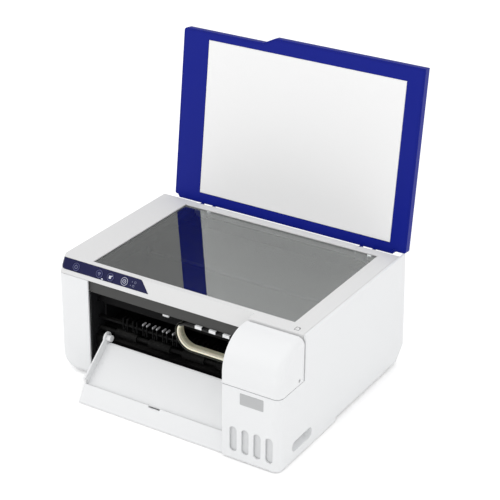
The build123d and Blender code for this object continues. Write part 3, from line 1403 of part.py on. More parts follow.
with BuildPart() as edge_guide:
    lift = hopper_sheet + clear
    block((guide_start, guide_start + 3.0), (-48.0, -10.0), (lift, lift + 6.0), frame=hopper_frame)
    block((guide_start, guide_start + 18.0), (-40.0, -16.0), (lift, lift + 1.5), frame=hopper_frame)
save(edge_guide, "edge_guide")

support_back = -clear - support_sheet
channel_half = 46.0
channel_depth = 1.2
with BuildPart() as paper_support:
    block(
        (-support_half_width, support_half_width), (-support_length, 0), (support_back, -clear),
        frame=hopper_frame,
    )
    block((-channel_half, channel_half), (-support_length - 1, 1), (support_back - 1, support_back + channel_depth),
          mode=Mode.SUBTRACT, frame=hopper_frame)
    corners = paper_support.edges().filter_by(Axis((0, 0, 0), hopper_frame.z_dir))
    fillet(corners.filter_by(lambda e: abs(e.center().X) > channel_half + 1).sort_by(Axis.Z)[-2:], 6.0)
save(paper_support, "paper_support")

with BuildPart() as support_extension:
    block((-channel_half + clear, channel_half - clear), (-support_length, -0.5),
          (support_back + 0.1, support_back + channel_depth - 0.1), frame=hopper_frame)
save(support_extension, "support_extension")

# ---------------- electronics and screws ----------------
with BuildPart() as power_supply:
    block(
        (tank_left_x - 104.6, tank_left_x - 16.6), (pickup_y - 93.1, pickup_y - 11.1),
        (chassis_low_z + 7.0, chassis_low_z + 42.8),
    )
    fillet(power_supply.edges().filter_by(Axis.Z), 4.0)
save(power_supply, "power_supply")

board_y = usb_front_y - 2.0
with BuildPart() as main_board:
    block((usb_x - 17.0, usb_x + 15.0), (board_y, board_y + 1.6), (usb_z - 22.0, usb_z + 26.0))
    block((usb_x - 12.0, usb_x + 2.0), (board_y - 2.5, board_y), (usb_z - 6.0, usb_z + 8.0))
    for z in (usb_z - 14.0, usb_z + 14.0, usb_z + 21.0):
        rod((usb_x + 9.0, board_y, z), (0, -1, 0), 3.0, 9.0)
save(main_board, "main_board")

with BuildPart() as screws:
    for x, z in screw_places:
        rod((x, rear_wall_y + wall, z), (0, 1, 0), screw_radius, 1.8)
        rod((x, rear_wall_y + wall - 5.0, z), (0, 1, 0), shank_radius, 5.0)
        for wide, tall in ((3.4, 0.7), (0.7, 3.4)):
            block(
                (x - wide / 2, x + wide / 2), (rear_wall_y + wall + 0.8, rear_wall_y + wall + 2.0),
                (z - tall / 2, z + tall / 2), mode=Mode.SUBTRACT,
            )
save(screws, "screws")
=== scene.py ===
import json
import math
import bpy
import numpy as np
from mathutils import Matrix, Vector


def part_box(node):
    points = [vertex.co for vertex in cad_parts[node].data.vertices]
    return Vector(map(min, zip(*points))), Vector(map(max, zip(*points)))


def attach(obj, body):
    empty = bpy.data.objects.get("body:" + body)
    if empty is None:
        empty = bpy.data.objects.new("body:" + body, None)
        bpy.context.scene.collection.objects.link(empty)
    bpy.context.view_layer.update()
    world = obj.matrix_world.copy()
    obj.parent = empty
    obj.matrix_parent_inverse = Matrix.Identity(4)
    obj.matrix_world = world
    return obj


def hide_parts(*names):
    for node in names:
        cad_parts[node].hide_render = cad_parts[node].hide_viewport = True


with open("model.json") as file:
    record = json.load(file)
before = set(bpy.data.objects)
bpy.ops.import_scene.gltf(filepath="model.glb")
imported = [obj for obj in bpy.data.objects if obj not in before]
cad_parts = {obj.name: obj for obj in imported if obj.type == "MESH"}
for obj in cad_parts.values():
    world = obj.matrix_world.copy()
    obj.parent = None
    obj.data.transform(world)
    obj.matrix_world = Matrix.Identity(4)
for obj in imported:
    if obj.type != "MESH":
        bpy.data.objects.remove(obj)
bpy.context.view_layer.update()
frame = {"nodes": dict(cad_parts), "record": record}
nodes = frame["nodes"]
print("printer body loaded,", len(nodes), "nodes")

# ---- shared effects, as shader groups ----

effectSpec = {
    "grainSize": 2200.0, "shadeSize": 9.0, "cloudSize": 60.0,  # noise scales of the moulded surface
    "dustSize": 420.0, "dustPatches": 14.0, "dustFloor": 0.2, "dustGain": 2.2,
    "dustColour": (0.6, 0.58, 0.55, 1), "dustRough": 0.3,
    "edgeWidth": 0.0006, "edgeSamples": 4, "edgeGain": 5.0, "edgeBreakUp": 160.0,
    "glossChange": 0.08, "coatRough": 0.08,
}


def plug(tree, value, socket):
    # a number or a colour is set on the socket, another node's output is linked to it
    if isinstance(value, bpy.types.NodeSocket):
        tree.links.new(value, socket)
    else:
        socket.default_value = value


def startGroup(name, inputs, outputs):
    # an empty shader group with its named sockets
    group = bpy.data.node_groups.new(name, "ShaderNodeTree")
    for label, kind, value in inputs:
        socket = group.interface.new_socket(label, in_out="INPUT", socket_type=kind)
        socket.default_value = value
    for label, kind in outputs:
        group.interface.new_socket(label, in_out="OUTPUT", socket_type=kind)
    return group, group.nodes.new("NodeGroupInput"), group.nodes.new("NodeGroupOutput")


def groupIn(tree, group, values):
    node = tree.nodes.new("ShaderNodeGroup")
    node.node_tree = group
    for label, value in values.items():
        plug(tree, value, node.inputs[label])
    return node


def mathNode(tree, operation, a, b, clamp=False):
    node = tree.nodes.new("ShaderNodeMath")
    node.operation = operation
    node.use_clamp = clamp
    for socket, value in zip(node.inputs, (a, b)):
        plug(tree, value, socket)
    return node.outputs[0]


def vectorNode(tree, operation, a):
    # a vector operation with its first input linked
    node = tree.nodes.new("ShaderNodeVectorMath")
    node.operation = operation
    tree.links.new(a, node.inputs[0])
    return node


def noiseNode(tree, vector, scale, detail, roughness=0.5):
    node = tree.nodes.new("ShaderNodeTexNoise")
    node.inputs["Detail"].default_value = detail
    node.inputs["Roughness"].default_value = roughness
    tree.links.new(vector, node.inputs["Vector"])
    plug(tree, scale, node.inputs["Scale"])
    return node.outputs["Fac"]


def spanNode(tree, value, values):
    # a number moved from one span to another, the spans given by the sockets' names
    node = tree.nodes.new("ShaderNodeMapRange")
    for label, number in values.items():
        node.inputs[label].default_value = number
    tree.links.new(value, node.inputs["Value"])
    return node.outputs[0]


def mixColours(tree, mask, first, second):
    mix = tree.nodes.new("ShaderNodeMix")
    mix.data_type = "RGBA"
    for label, value in (("Factor", mask), ("A", first), ("B", second)):
        plug(tree, value, mix.inputs[label])
    return mix.outputs["Result"]


def objectPlace(tree):
    return tree.nodes.new("ShaderNodeTexCoord").outputs["Object"]


def splitVector(tree, vector):
    split = tree.nodes.new("ShaderNodeSeparateXYZ")
    tree.links.new(vector, split.inputs[0])
    return split.outputs


def surfaceNormal(tree):
    return tree.nodes.new("ShaderNodeNewGeometry").outputs["Normal"]


def buildMouldGrain():
    # spark-eroded grain of a plastic mould: fine noise for height, slow noise for colour and gloss
    group, into, out = startGroup(
        "mouldGrain",
        [("Color", "NodeSocketColor", (0.8, 0.8, 0.8, 1)), ("Grain Size", "NodeSocketFloat", 2200.0),
         ("Mottle", "NodeSocketFloat", 0.03), ("Roughness", "NodeSocketFloat", 0.45),
         ("Gloss Change", "NodeSocketFloat", 0.08)],
        [("Color", "NodeSocketColor"), ("Roughness", "NodeSocketFloat"), ("Height", "NodeSocketFloat")])
    mottle = into.outputs["Mottle"]
    place = objectPlace(group)
    fine = noiseNode(group, place, into.outputs["Grain Size"], 2.0)
    slow = noiseNode(group, place, effectSpec["shadeSize"], 3.0)
    cloudy = noiseNode(group, place, effectSpec["cloudSize"], 4.0)
    shade = mathNode(group, "MULTIPLY", mathNode(group, "SUBTRACT", slow, 0.5), mottle)
    speck = mathNode(group, "MULTIPLY", mathNode(group, "SUBTRACT", fine, 0.5), mottle)
    level = mathNode(group, "ADD", mathNode(group, "ADD", shade, speck), 1.0)
    tint = vectorNode(group, "SCALE", into.outputs["Color"])
    group.links.new(level, tint.inputs["Scale"])
    group.links.new(tint.outputs[0], out.inputs["Color"])
    gloss = mathNode(group, "SUBTRACT", cloudy, 0.5)
    gloss = mathNode(group, "MULTIPLY", gloss, into.outputs["Gloss Change"])
    rough = mathNode(group, "ADD", gloss, into.outputs["Roughness"], True)
    group.links.new(rough, out.inputs["Roughness"])
    group.links.new(fine, out.inputs["Height"])
    return group


def buildDeskDust():
    # dust lying on faces that look up: noise cut by the normal's upward part
    group, into, out = startGroup(
        "deskDust",
        [("Color", "NodeSocketColor", (0.8, 0.8, 0.8, 1)),
         ("Dust Color", "NodeSocketColor", effectSpec["dustColour"]),
         ("Amount", "NodeSocketFloat", 0.1)],
        [("Color", "NodeSocketColor"), ("Mask", "NodeSocketFloat")])
    place = objectPlace(group)
    upward = mathNode(group, "MAXIMUM", splitVector(group, surfaceNormal(group))["Z"], 0.0)
    grit = noiseNode(group, place, effectSpec["dustSize"], 5.0, 0.7)
    patches = mathNode(group, "MULTIPLY", grit, noiseNode(group, place, effectSpec["dustPatches"], 2.0))
    sparse = mathNode(group, "SUBTRACT", patches, effectSpec["dustFloor"], True)
    sparse = mathNode(group, "MULTIPLY", sparse, effectSpec["dustGain"])
    lying = mathNode(group, "MULTIPLY", sparse, upward)
    mask = mathNode(group, "MULTIPLY", lying, into.outputs["Amount"], True)
    dusty = mixColours(group, mask, into.outputs["Color"], into.outputs["Dust Color"])
    group.links.new(dusty, out.inputs["Color"])
    group.links.new(mask, out.inputs["Mask"])
    return group


def buildRubbedEdge():
    # rubbed corners: how far a rounded normal leaves the flat one, broken up by noise
    group, into, out = startGroup(
        "rubbedEdge",
        [("Width", "NodeSocketFloat", 0.0008), ("Break Up", "NodeSocketFloat", effectSpec["edgeBreakUp"])],
        [("Mask", "NodeSocketFloat"), ("Normal", "NodeSocketVector")])
    bevel = group.nodes.new("ShaderNodeBevel")
    bevel.samples = effectSpec["edgeSamples"]
    group.links.new(into.outputs["Width"], bevel.inputs["Radius"])
    product = vectorNode(group, "DOT_PRODUCT", bevel.outputs["Normal"])
    group.links.new(surfaceNormal(group), product.inputs[1])
    bend = mathNode(group, "SUBTRACT", 1.0, product.outputs["Value"], True)
    bend = mathNode(group, "MULTIPLY", bend, effectSpec["edgeGain"], True)
    broken = noiseNode(group, objectPlace(group), into.outputs["Break Up"], 4.0)
    group.links.new(mathNode(group, "MULTIPLY", bend, broken, True), out.inputs["Mask"])
    group.links.new(bevel.outputs["Normal"], out.inputs["Normal"])
    return group


mouldGrain = buildMouldGrain()
deskDust = buildDeskDust()
rubbedEdge = buildRubbedEdge()
print("shader groups built")

# ---- materials ----


def toLinear(red, green, blue):
    # a screen colour of 0 to 255 as the linear colour that a shader takes
    part = [v / 255 for v in (red, green, blue)]
    return tuple(v / 12.92 if v <= 0.04045 else ((v + 0.055) / 1.055) ** 2.4 for v in part) + (1.0,)


def startMaterial(name):
    material = bpy.data.materials.new(name)
    material.use_nodes = True
    tree = material.node_tree
    return material, tree, tree.nodes["Principled BSDF"]


def finishSurface(tree, shader, look, colour):
    # colour through dust and edge rub, gloss and bump from the grain
    grain = groupIn(tree, mouldGrain, {
        "Color": colour, "Grain Size": look.get("grain", effectSpec["grainSize"]),
        "Mottle": look.get("mottle", 0.03), "Roughness": look["rough"],
        "Gloss Change": effectSpec["glossChange"]})
    edge = groupIn(tree, rubbedEdge, {"Width": effectSpec["edgeWidth"]})
    dust = groupIn(tree, deskDust, {"Color": grain.outputs["Color"], "Amount": look.get("dust", 0.08)})
    rub = mathNode(tree, "MULTIPLY", edge.outputs["Mask"], look.get("rub", 0.25))
    worn = mixColours(tree, rub, dust.outputs["Color"], look.get("rubColour", look["colour"]))
    tree.links.new(worn, shader.inputs["Base Color"])
    dull = mathNode(tree, "MULTIPLY", dust.outputs["Mask"], effectSpec["dustRough"])
    rough = mathNode(tree, "ADD", grain.outputs["Roughness"], dull, True)
    tree.links.new(rough, shader.inputs["Roughness"])
    shader.inputs["Specular IOR Level"].default_value = look.get("shine", 0.5)
    bump = tree.nodes.new("ShaderNodeBump")
    bump.inputs["Strength"].default_value = look.get("bump", 0.12)
    bump.inputs["Distance"].default_value = look.get("depth", 0.0001)
    tree.links.new(grain.outputs["Height"], bump.inputs["Height"])
    tree.links.new(edge.outputs["Normal"], bump.inputs["Normal"])
    tree.links.new(bump.outputs["Normal"], shader.inputs["Normal"])


def above(tree, value, edge, width):
    # 0 below an edge, 1 above it, with a soft step between
    return spanNode(tree, value, {"From Min": edge - width / 2, "From Max": edge + width / 2})


def plasticFinish(name, look):
    material, tree, shader = startMaterial(name)
    finishSurface(tree, shader, look, look["colour"])
    shader.inputs["Coat Weight"].default_value = look.get("coat", 0.0)
    shader.inputs["Coat Roughness"].default_value = effectSpec["coatRough"]
    return material


def brushedSteel(name, look):
    # fine lines along X: noise stretched a hundred times
    material, tree, shader = startMaterial(name)
    finishSurface(tree, shader, look, look["colour"])
    shader.inputs["Metallic"].default_value = 1.0
    stretch = tree.nodes.new("ShaderNodeMapping")
    stretch.inputs["Scale"].default_value = (20.0, 2600.0, 2600.0)
    tree.links.new(objectPlace(tree), stretch.inputs["Vector"])
    lines = noiseNode(tree, stretch.outputs[0], 1.0, 3.0)
    rough = spanNode(tree, lines, {"To Min": look["rough"] - 0.1, "To Max": look["rough"] + 0.12})
    tree.links.new(rough, shader.inputs["Roughness"])
    return material


def clearGlass(name, look):
    # float glass with faint smears that only change its gloss
    material, tree, shader = startMaterial(name)
    shader.inputs["Base Color"].default_value = look["colour"]
    shader.inputs["Transmission Weight"].default_value = 1.0
    shader.inputs["IOR"].default_value = look["ior"]
    wiped = noiseNode(tree, objectPlace(tree), look["smearSize"], 5.0, 0.6)
    smear = spanNode(tree, wiped, {"From Min": 0.5, "From Max": 0.8, "To Max": look["smear"]})
    tree.links.new(smear, shader.inputs["Roughness"])
    return material


def tubeSilicone(name, look):
    # four tubes side by side, the foremost one paler as a painted highlight, the light on the ribbon's outer
    # curve; a black sleeve covers their upper run
    material, tree, shader = startMaterial(name)
    place = splitVector(tree, objectPlace(tree))
    # painted highlight: the front tube pale, fading to the plain tube colour towards the back
    depth = above(tree, place["Y"], (look["frontY"] + look["rearY"]) / 2, look["rearY"] - look["frontY"])
    clear = mixColours(tree, depth, look["frontHighlightColour"], look["colour"])
    high = above(tree, place["Z"], look["sleeveZ"], 0.001)
    sleeved = mathNode(tree, "MULTIPLY", high, above(tree, place["X"], look["sleeveX"], 0.001))
    finishSurface(tree, shader, look, mixColours(tree, sleeved, clear, look["sleeve"]))
    shader.inputs["Subsurface Weight"].default_value = 0.1
    shader.inputs["Subsurface Scale"].default_value = 0.002
    return material


def litFrontShadedInside(name, look):
    # one housing part in painted light and shade: grey on its lit front face, black further in where shade falls
    material, tree, shader = startMaterial(name)
    mask = above(tree, splitVector(tree, objectPlace(tree))["Y"], look["edgeY"], 0.0004)
    finishSurface(tree, shader, look, mixColours(tree, mask, look["colour"], look["behind"]))
    return material


def paleTips(name, look):
    # black strip whose upper tips are pale over a part of its length
    material, tree, shader = startMaterial(name)
    place = splitVector(tree, objectPlace(tree))
    high = above(tree, place["Z"], look["fromZ"], 0.002)
    started = above(tree, place["X"], look["fromX"], 0.004)
    ended = mathNode(tree, "SUBTRACT", 1.0, above(tree, place["X"], look["toX"], 0.004))
    mask = mathNode(tree, "MULTIPLY", high, mathNode(tree, "MULTIPLY", started, ended))
    finishSurface(tree, shader, look, mixColours(tree, mask, look["colour"], look["tip"]))
    return material


looks = {
    "white_cover": {
        "colour": toLinear(236, 237, 238), "rough": 0.38, "grain": 2600.0, "bump": 0.1, "mottle": 0.02,
        "rub": 0.15, "rubColour": toLinear(222, 222, 222), "dust": 0.03},
    "white_frame": {
        "colour": toLinear(223, 223, 223), "rough": 0.42, "grain": 2400.0, "bump": 0.12, "mottle": 0.025,
        "rub": 0.15, "rubColour": toLinear(206, 206, 206), "dust": 0.05},
    "blue_lid": {
        "colour": toLinear(12, 28, 138), "rough": 0.4, "shine": 0.16, "grain": 2600.0, "bump": 0.1,
        "mottle": 0.08, "rub": 0.3, "rubColour": toLinear(40, 54, 165), "dust": 0.04},
    "white_pad": {
        "colour": toLinear(249, 249, 249), "rough": 0.55, "grain": 900.0, "bump": 0.2, "mottle": 0.025,
        "dust": 0.04, "depth": 0.0002},
    "navy_panel": {
        "colour": toLinear(20, 22, 68), "rough": 0.16, "grain": 1500.0, "bump": 0.03, "coat": 0.25,
        "shine": 0.25, "mottle": 0.06, "dust": 0.05, "rubColour": toLinear(52, 54, 104)},
    "navy_button": {
        "colour": toLinear(28, 30, 78), "rough": 0.26, "shine": 0.25, "bump": 0.05, "mottle": 0.06,
        "rubColour": toLinear(62, 64, 112)},
    "black_plastic": {
        "colour": toLinear(7, 7, 8), "rough": 0.6, "shine": 0.12, "mottle": 0.15, "rub": 0.1,
        "rubColour": toLinear(34, 34, 36)},
    "dark_grey_plastic": {
        "colour": toLinear(30, 30, 32), "rough": 0.5, "shine": 0.25, "mottle": 0.1, "rub": 0.15,
        "rubColour": toLinear(70, 70, 72)},
    "mid_grey_plastic": {
        "colour": toLinear(84, 84, 84), "rough": 0.5, "mottle": 0.08, "rubColour": toLinear(112, 112, 112)},
    "black_rubber": {
        "colour": toLinear(15, 15, 15), "rough": 0.8, "shine": 0.15, "grain": 1400.0, "bump": 0.4,
        "depth": 0.0003, "mottle": 0.15, "rubColour": toLinear(70, 70, 70)},
    "belt_rubber": {"colour": toLinear(26, 26, 26), "rough": 0.75, "grain": 1400.0, "bump": 0.4, "mottle": 0.15},
    "tank_plastic": {
        "colour": toLinear(218, 219, 220), "rough": 0.3, "grain": 1200.0, "bump": 0.05, "mottle": 0.04},
    "gear_nylon": {"colour": toLinear(222, 219, 206), "rough": 0.4, "mottle": 0.05},
    "black_cap": {"colour": toLinear(34, 34, 36), "rough": 0.5, "mottle": 0.1},
    "cyan_cap": {"colour": toLinear(0, 138, 198), "rough": 0.45, "mottle": 0.08},
    "magenta_cap": {"colour": toLinear(198, 24, 118), "rough": 0.45, "mottle": 0.08},
    "yellow_cap": {"colour": toLinear(238, 204, 24), "rough": 0.45, "mottle": 0.08},
    "green_board": {"colour": toLinear(22, 92, 54), "rough": 0.35, "grain": 700.0, "mottle": 0.3, "coat": 0.3},
    "head_black": {"colour": toLinear(40, 40, 42), "rough": 0.4, "mottle": 0.12},
    "white_mark": {"colour": toLinear(226, 228, 240), "rough": 0.5, "mottle": 0.04},
    "dim_mark": {"colour": toLinear(150, 154, 184), "rough": 0.5, "mottle": 0.06},
    "faint_mark": {"colour": toLinear(100, 104, 146), "rough": 0.5, "mottle": 0.06},
    "grey_mark": {"colour": toLinear(70, 71, 74), "rough": 0.55, "mottle": 0.05},
    "pale_plate": {"colour": toLinear(186, 187, 188), "rough": 0.5, "mottle": 0.04},
    "film": {"colour": toLinear(60, 62, 56), "rough": 0.3, "mottle": 0.1},
}
steels = {
    "zinc_steel": {"colour": toLinear(178, 180, 182), "rough": 0.34, "mottle": 0.05},
    "bright_steel": {"colour": toLinear(200, 202, 205), "rough": 0.2, "mottle": 0.03},
    "dull_steel": {"colour": toLinear(70, 71, 73), "rough": 0.5, "mottle": 0.05},
}
# the housing's grey is its lit front face; the black behind edgeY is painted shade inside the machine
housingLook = {
    "colour": toLinear(72, 72, 71), "behind": toLinear(8, 8, 9), "edgeY": -0.1158, "rough": 0.5,
    "shine": 0.3, "mottle": 0.08, "rub": 0.15, "rubColour": toLinear(96, 96, 96)}
starLook = {
    "colour": toLinear(7, 7, 8), "tip": toLinear(190, 190, 192), "fromZ": 0.0950, "fromX": -0.070,
    "toX": -0.010, "rough": 0.5, "shine": 0.12, "mottle": 0.15, "rub": 0.1, "rubColour": toLinear(34, 34, 36)}
glassLook = {"colour": toLinear(236, 243, 240), "ior": 2.15, "smear": 0.05, "smearSize": 16.0}
# the foremost tube's pale cream is a painted highlight, the lit outer curve of the tube ribbon
tubeLook = {
    "colour": toLinear(178, 176, 152), "frontHighlightColour": toLinear(238, 233, 212), "frontY": -0.1170,
    "rearY": -0.1120, "sleeve": toLinear(16, 16, 17), "sleeveZ": 0.1235, "sleeveX": 0.0020, "rough": 0.3,
    "mottle": 0.1, "grain": 900.0}

finishes = {name: plasticFinish(name, look) for name, look in looks.items()}
finishes.update({name: brushedSteel(name, look) for name, look in steels.items()})
finishes["housing_grey"] = litFrontShadedInside("housing_grey", housingLook)
finishes["star_wheels"] = paleTips("star_wheels", starLook)
finishes["clear_glass"] = clearGlass("clear_glass", glassLook)
finishes["tube_silicone"] = tubeSilicone("tube_silicone", tubeLook)

slotOf = {part["node"]: part["material_slot"] for part in frame["record"]["subparts"]}
# scan rod: bright steel given the dark dull_steel finish as painted shade, the shade inside the machine
# scanner housing: grey on its lit front, painted shade black further inside
slotOf.update({"scanner_housing": "housing_grey", "star_wheel_bar": "star_wheels", "scan_rod": "dull_steel"})
for name, node in nodes.items():
    node.data.materials.clear()
    node.data.materials.append(finishes[slotOf[name]])
print("finishes set on", len(nodes), "nodes")

# ---- surfaces from arrays ----


def gridSurface(points, look, closeAcross=False, capEnds=False):
    # a surface over a grid of points: rows run along the first index, columns along the second
    rows, columns = points.shape[:2]
    index = np.arange(rows * columns).reshape(rows, columns)
    right = np.roll(index, -1, axis=1) if closeAcross else index[:, 1:]
    left = index if closeAcross else index[:, :-1]
    faces = np.stack([left[:-1], right[:-1], right[1:], left[1:]], axis=-1).reshape(-1, 4).tolist()
    if capEnds:
        faces += [index[0][::-1].tolist(), index[-1].tolist()]
    return points.reshape(-1, 3), faces, look


def makePiece(name, surfaces, body):
    # one object out of several surfaces, each in its own finish, riding its body
    points, faces, wears, looksUsed = [], [], [], []
    for some, rings, look in surfaces:
        start = sum(len(p) for p in points)
        faces += [[start + n for n in ring] for ring in rings]
        if look not in looksUsed:
            looksUsed.append(look)
        wears += [looksUsed.index(look)] * len(rings)
        points.append(some)
    mesh = bpy.data.meshes.new(name)
    mesh.from_pydata(np.concatenate(points).tolist(), [], faces)
    for look in looksUsed:
        mesh.materials.append(finishes[look])
    mesh.polygons.foreach_set("material_index", wears)
    mesh.update()
    piece = bpy.data.objects.new(name, mesh)
    bpy.context.scene.collection.objects.link(piece)
    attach(piece, body)
    return piece


def tilted(origin, across, along):
    # a flat frame: origin, its two directions and their normal, as arrays
    across, along = np.array(across, float), np.array(along, float)
    across, along = across / np.linalg.norm(across), along / np.linalg.norm(along)
    return np.array(origin, float), across, along, np.cross(across, along)


def onFrame(flat, u, v, height):
    origin, across, along, normal = flat
    return origin + u[..., None] * across + v[..., None] * along + height[..., None] * normal


def inkStroke(flat, path, width, height, look, closed=False):
    # a printed line: a low rounded section, width wide and height high, carried along a flat path
    path = np.array(path, float)
    ahead = np.roll(path, -1, 0) - path
    behind = path - np.roll(path, 1, 0)
    if not closed:
        ahead[-1], behind[0] = behind[-1], ahead[0]
    turn = ahead / np.linalg.norm(ahead, axis=1)[:, None] + behind / np.linalg.norm(behind, axis=1)[:, None]
    turn /= np.linalg.norm(turn, axis=1)[:, None]
    side = np.stack([-turn[:, 1], turn[:, 0]], 1)
    section = np.array([(0.5, -0.5), (0.5, 0.7), (0.42, 1.0), (-0.42, 1.0), (-0.5, 0.7), (-0.5, -0.5)])
    shift = section[None, :, 0, None] * width * side[:, None, :]
    u = path[:, None, 0] + shift[..., 0]
    v = path[:, None, 1] + shift[..., 1]
    h = np.broadcast_to(section[None, :, 1] * height, u.shape)
    points = onFrame(flat, u, v, h)
    if closed:
        points = np.concatenate([points, points[:1]], 0)
    return gridSurface(points, look, closeAcross=True, capEnds=not closed)


def arcPath(centre, radius, start, end, steps=40):
    angle = np.radians(np.linspace(start, end, steps))
    return np.stack([centre[0] + radius * np.cos(angle), centre[1] + radius * np.sin(angle)], 1)


def ringPath(centre, radius, steps=48):
    return arcPath(centre, radius, 0, 360 * (1 - 1 / steps), steps)


def roundedOutline(width, height, corner, steps=8):
    # a rectangle with rounded corners as one loop of points
    loops = []
    for sx, sy, start in ((1, -1, -90), (1, 1, 0), (-1, 1, 90), (-1, -1, 180)):
        centre = (sx * (width / 2 - corner), sy * (height / 2 - corner))
        loops.append(arcPath(centre, corner, start, start + 90, steps))
    return np.concatenate(loops, 0)


def lowPlate(flat, outline, thickness, edge, look):
    # a thin plate: its outline drawn in a little as it rises, then closed over the top
    middle = outline.mean(0)
    levels = [(0.0, -0.3), (0.0, 0.6), (edge * 0.3, 0.9), (edge, 1.0)]
    span = np.linalg.norm(outline - middle, axis=1, keepdims=True)
    rows = []
    for inset, rise in levels:
        loop = middle + (outline - middle) * (1 - inset / span)
        rows.append(onFrame(flat, loop[:, 0], loop[:, 1], np.full(len(loop), rise * thickness)))
    return gridSurface(np.array(rows), look, closeAcross=True, capEnds=True)


# ---- marks on the control panel ----

panelSpec = {
    "topEdge": (0.0, -0.1092, 0.169),
    "runBack": (0.0, 0.011, 0.020),
    "panelRise": 0.0003,
    "buttonRise": 0.0006,
    "down": 0.0097,
    "ringRadius": 0.0051,
    "line": 0.00055,
    "ink": 0.00006,
    "power": -0.16575, "network": -0.12765, "info": -0.10955, "copy": -0.08685,
    "lights": ((-0.0748, -0.0072), (-0.0766, -0.0124)),
    "lightSign": (0.0046, 0.0),
    "dash": (-0.1216, -0.0153),
}
slopeFrame = tilted(panelSpec["topEdge"], (1, 0, 0), panelSpec["runBack"])


def risen(flat, height):
    # the same flat frame, moved along its normal
    return (flat[0] + flat[3] * height, flat[1], flat[2], flat[3])


def drawPanelMarks():
    top = risen(slopeFrame, panelSpec["buttonRise"])
    low = risen(slopeFrame, panelSpec["panelRise"])
    v = -panelSpec["down"]
    line, ink = panelSpec["line"], panelSpec["ink"]

    def stroke(path, look, closed=False, width=line, flat=top):
        return inkStroke(flat, path, width, ink, look, closed)

    def rim(x, look, width=line):
        return stroke(ringPath((x, v), panelSpec["ringRadius"]), look, True, width)

    x = panelSpec["power"]
    makePiece("power_mark", [
        rim(x, "faint_mark"),
        stroke(arcPath((x, v), 0.0022, 125, 415), "dim_mark"),
        stroke([(x, v + 0.0008), (x, v + 0.0028)], "dim_mark"),
    ], "power_key")
    x = panelSpec["network"]
    waves = [stroke(arcPath((x, v - 0.0018), 0.0011 + 0.0012 * n, 45, 135, 16), "dim_mark") for n in range(3)]
    dot = stroke(ringPath((x, v - 0.0018), 0.0003, 12), "dim_mark", True, 0.0005)
    makePiece("network_mark", [rim(x, "faint_mark"), dot] + waves, "network_key")
    x = panelSpec["info"]
    sheet = roundedOutline(0.0034, 0.0040, 0.0004) + np.array([x - 0.0004, v - 0.0002])
    makePiece("info_mark", [
        rim(x, "faint_mark"),
        lowPlate(top, sheet, ink, 0.0001, "white_mark"),
        stroke([(x - 0.0006, v - 0.0004), (x + 0.0030, v + 0.0024)], "white_mark", width=0.0011),
    ], "info_key")
    x = panelSpec["copy"]
    makePiece("copy_mark", [
        rim(x, "white_mark", width=0.00055),
        stroke(ringPath((x, v), 0.0024), "white_mark", True, 0.0007),
        stroke([(x - 0.0002, v - 0.0008), (x + 0.0009, v + 0.0009)], "white_mark", width=0.0006),
    ], "copy_key")
    lights = []
    for spot in np.array(panelSpec["lights"]):
        lights.append(stroke(ringPath(spot, 0.0005, 16), "dim_mark", True, 0.0004, low))
        shape = roundedOutline(0.0026, 0.0024, 0.0006) + spot + np.array(panelSpec["lightSign"])
        lights.append(stroke(shape[::2], "dim_mark", True, 0.0004, low))
    dash = roundedOutline(0.0030, 0.0016, 0.0006) + np.array(panelSpec["dash"])
    lights.append(lowPlate(low, dash, ink, 0.0001, "white_mark"))
    makePiece("panel_marks", lights, "scanner")


drawPanelMarks()
print("panel marks drawn")

# ---- sheet corner sign on the deck, and the bare plates ----

plateSpec = {
    "deckZ": 0.169, "signX": 0.1757, "signY": -0.1152, "signSize": 0.0060,
    "tankFrontY": -0.1852, "tankPlateX": (0.1364, 0.1702), "tankPlateZ": (0.0838, 0.1000),
}


def drawDeckSign():
    deck = tilted((plateSpec["signX"], plateSpec["signY"], plateSpec["deckZ"]), (1, 0, 0), (0, 1, 0))
    s = plateSpec["signSize"]
    page = np.array([(-0.5, -0.6), (0.5, -0.6), (0.5, 0.3), (0.2, 0.6), (-0.5, 0.6)]) * s
    fold = np.array([(0.5, 0.3), (0.2, 0.3), (0.2, 0.6)]) * s
    makePiece("sheet_corner_sign", [
        inkStroke(deck, page, 0.0009, 0.00005, "grey_mark", True),
        inkStroke(deck, fold, 0.0007, 0.00005, "grey_mark"),
    ], "scanner")


def drawPlates():
    (x0, x1), (z0, z1) = plateSpec["tankPlateX"], plateSpec["tankPlateZ"]
    face = tilted(((x0 + x1) / 2, plateSpec["tankFrontY"], (z0 + z1) / 2), (1, 0, 0), (0, 0, 1))
    plate = lowPlate(face, roundedOutline(x1 - x0, z1 - z0, 0.0012), 0.00025, 0.0003, "pale_plate")
    makePiece("tank_plate", [plate], "base")


drawDeckSign()
drawPlates()
print("sign and plates drawn")

# ---- foam document pad ----

padSpec = {"edgeRound": 0.0011, "edgeSteps": 6, "crown": 0.000108, "columns": 90, "rows": 70, "thickness": 0.0025,
           "hinge": (0.0, 0.1357, 0.162), "lean": 6.6}


